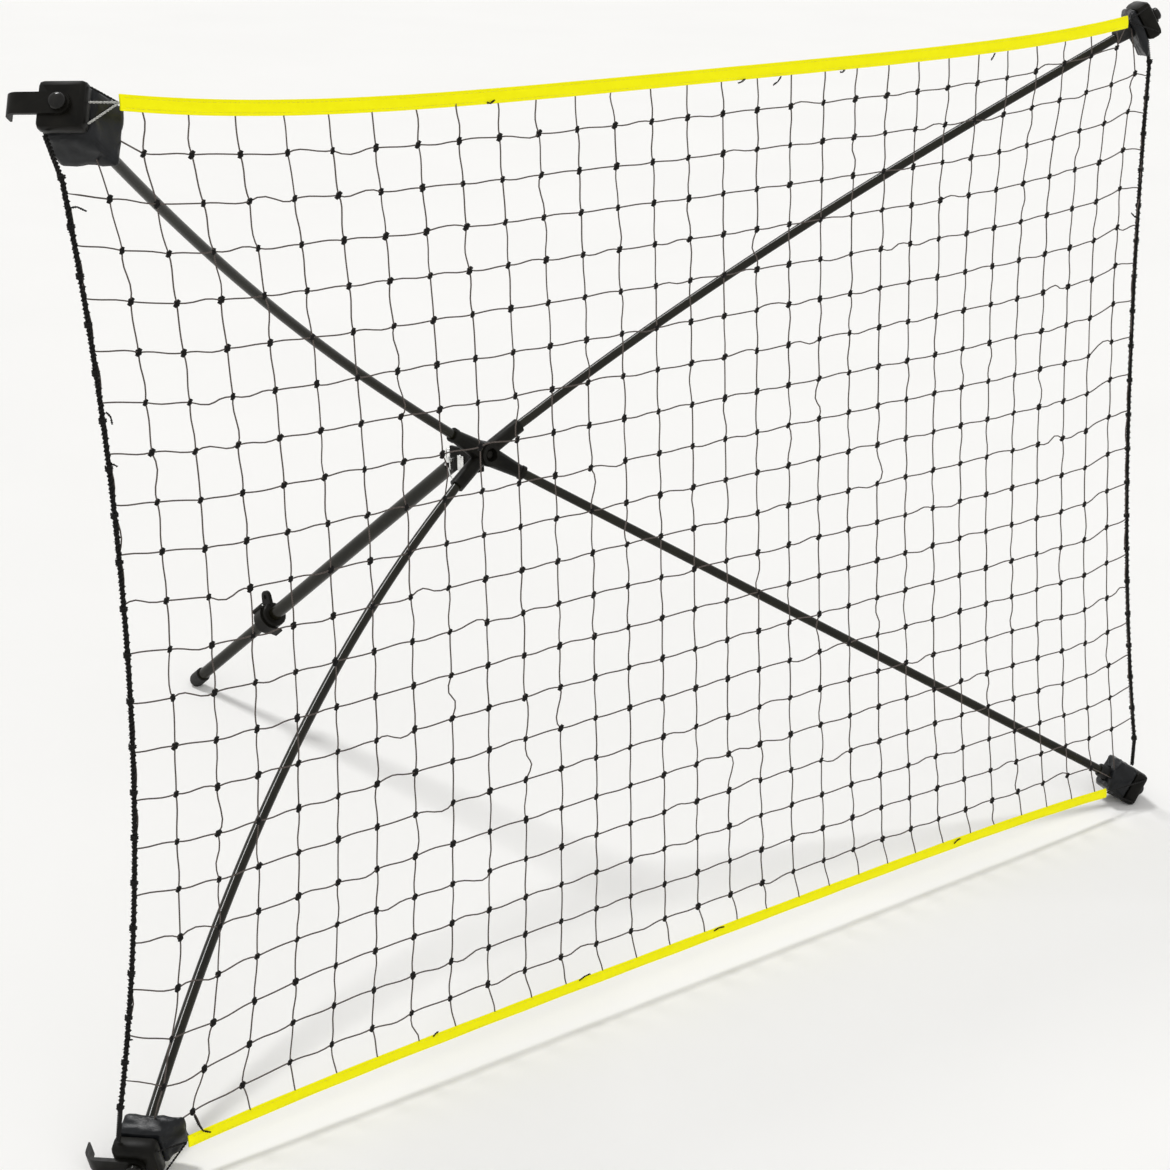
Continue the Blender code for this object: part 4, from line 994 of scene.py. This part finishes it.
def merged_copy(node):
    """A solid's loose triangles as one closed shape with whole flat faces."""
    shape = bmesh.new()
    shape.from_mesh(nodes[node].data)
    bmesh.ops.remove_doubles(shape, verts=shape.verts, dist=WELD)
    bmesh.ops.dissolve_limit(shape, angle_limit=math.radians(FLAT_ANGLE),
                             verts=shape.verts, edges=shape.edges)
    return shape


def free_shank(shape, joint):
    """Moves what lies close to the hook's axis a little towards it, which thins the screw's shank."""
    start, axis = Vector(joint["pos_m"]), Vector(joint["axis"]).normalized()
    for vertex in shape.verts:
        foot = start + axis * (vertex.co - start).dot(axis)
        if (vertex.co - foot).length < SHANK_RADIUS * SHANK_REACH:
            vertex.co = foot.lerp(vertex.co, SHANK_EASE)


def dress(node, body, material):
    """A copy of a solid as one smooth skin with rounded edges, which stands for the solid."""
    shape = merged_copy(node)
    if node.startswith("knob_"):
        free_shank(shape, joints["hook_swivel_" + node.removeprefix("knob_")])
    mesh = mesh_of(shape, node + "_skin")
    mesh.materials.append(material)
    mesh.shade_smooth()
    mesh.set_sharp_from_angle(angle=math.radians(EDGE_ANGLE))
    made = placed_object(node + "_skin", mesh, Matrix.Identity(4))
    edge = made.modifiers.new("edge", "BEVEL")
    edge.width = EDGE_WIDTH
    edge.segments = 2
    edge.limit_method = "ANGLE"
    edge.angle_limit = math.radians(EDGE_ANGLE)
    edge.harden_normals = True
    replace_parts(made, node)
    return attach(made, body)


# %% [markdown]
# The boots are soft sheet, so flat faces would look hard. A tree cuts each boot's skin finer and moves it in
# and out along its own normals by a slow noise, which leaves shallow folds.

# %% The soft boots
FOLD_DEPTH, FOLD_SIZE = 0.0016, 0.014
# The noise stays near its middle, so it is made this much stronger.
FOLD_GAIN = 4.0
SHEET_CUTS = 3
CREASE_ANGLE = 40.0

tree, given = open_tree("soft_sheet", Depth=FOLD_DEPTH, Fold=FOLD_SIZE, Material=vinyl)
fine = add(tree, "GeometryNodeSubdivideMesh", {"Mesh": given["Geometry"], "Level": SHEET_CUTS}).outputs[0]
wires = {"Scale": maths(tree, 1.0, given["Fold"], "DIVIDE"), "Detail": 2.0, "Distortion": 0.6}
wave = add(tree, "ShaderNodeTexNoise", wires).outputs["Fac"]
height = maths(tree, maths(tree, maths(tree, wave, 0.5, "SUBTRACT"), given["Depth"]), FOLD_GAIN)
move = scaled(tree, add(tree, "GeometryNodeInputNormal").outputs[0], height)
moved = add(tree, "GeometryNodeSetPosition", {"Geometry": fine, "Offset": move}).outputs[0]
close_tree(tree, moved)
sheet_tree = tree

for corner in CORNERS:
    shape = merged_copy("boot_" + corner)
    bmesh.ops.triangulate(shape, faces=[face for face in shape.faces if len(face.verts) > 4])
    skin = scene_object("boot", mesh_of(shape, "boot"))
    boot = grow("soft_boot_" + corner, skin, sheet_tree, Matrix.Identity(4))
    boot.data.set_sharp_from_angle(angle=math.radians(CREASE_ANGLE))
    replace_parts(boot, "boot_" + corner)
    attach(boot, "frame")

# %% [markdown]
# Every solid that nothing stands for yet is dressed now, in the finish of its slot. Only the screw heads are
# polished, although they are of the same nylon.

# %% The moulded and turned pieces
LOOKS = {"twine": black_twine, "tape": webbing, "rod": coat, "nylon": nylon, "vinyl": vinyl, "rubber": rubber,
         "zinc": zinc}
slot_of = {item["node"]: item["material_slot"] for item in frame["record"]["subparts"]}
stood_for = {name for item in bpy.data.objects if "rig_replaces" in item for name in item["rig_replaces"]}
for body, members in frame["record"]["behaviour"]["bodies"].items():
    for node in members:
        if node not in stood_for:
            look = polished if node.startswith("knob_") else LOOKS[slot_of[node]]
            dress(node, body, look)
print("dressed", len(slot_of) - len(stood_for), "solids")

# %% [markdown]
# The stage is a plain pale floor, wide enough that its edge is never seen.

# %% Floor
FLOOR_REACH = 40.0
PALE_FLOOR = ((0.965, 0.960, 0.945), (0.98, 0.975, 0.96))
floor_mesh = bpy.data.meshes.new("floor")
floor_corners = [(side * FLOOR_REACH, end * FLOOR_REACH, 0)
                 for side, end in ((-1, -1), (1, -1), (1, 1), (-1, 1))]
floor_mesh.from_pydata(floor_corners, [], [(0, 1, 2, 3)])
floor = scene_object("floor", floor_mesh)
pale, tree, shader, place = finish("pale_floor", 0.9, Specular_IOR_Level=0.1)
colour_by(tree, shader, noise(tree, place, size=0.5), PALE_FLOOR)
floor_mesh.materials.append(pale)
print("floor", 2 * FLOOR_REACH, "m wide")

# %% [markdown]
# The sky is white where it is looked at, straight or in a reflection, and dimmer where it gives light. On the
# real object two of the four rods carry a bright line, the one to the top right and the one to the bottom
# left. That needs light from high up and a little behind, so a soft sun stands there, and a wide low one in
# front fills the upright faces. Together with the sky they light floor and net so that a colour renders about
# as it is written.

# %% Sky and suns
SKY_LIGHT = 0.40
SKY_COLOUR = (1.0, 0.995, 0.985, 1.0)
WHITE = (1.0, 1.0, 1.0, 1.0)
# Each sun: its width in degrees, its strength, where its light goes, and whether reflections show it.
SUNS = {"overhead_sun": (13.0, 1.40, (0.125, -0.415, -0.901), True),
        "front_fill": (70.0, 1.50, (0.45, 0.82, -0.34), False)}

world = bpy.data.worlds.new("sky")
bpy.context.scene.world = world
world.use_nodes = True
tree = world.node_tree
sky = tree.nodes["Background"]
sky.inputs["Color"].default_value = SKY_COLOUR
sky.inputs["Strength"].default_value = SKY_LIGHT
rays = add(tree, "ShaderNodeLightPath")
seen = maths(tree, rays.outputs["Is Camera Ray"], rays.outputs["Is Glossy Ray"], "MAXIMUM")
seen = maths(tree, seen, rays.outputs["Is Transmission Ray"], "MAXIMUM")
backdrop = add(tree, "ShaderNodeBackground", {"Color": WHITE, "Strength": 1.0})
both = add(tree, "ShaderNodeMixShader", {0: seen, 1: sky.outputs[0], 2: backdrop.outputs[0]})
tree.links.new(both.outputs[0], tree.nodes["World Output"].inputs["Surface"])

for name, (width, strength, towards, shines) in SUNS.items():
    lamp = bpy.data.lights.new(name, "SUN")
    lamp.angle = math.radians(width)
    lamp.energy = strength
    light = scene_object(name, lamp)
    light.rotation_euler = Vector(towards).to_track_quat("-Z", "Y").to_euler()
    light.visible_glossy = shines
    print(name, "strength", strength)

bpy.context.scene.view_settings.view_transform = "Standard"
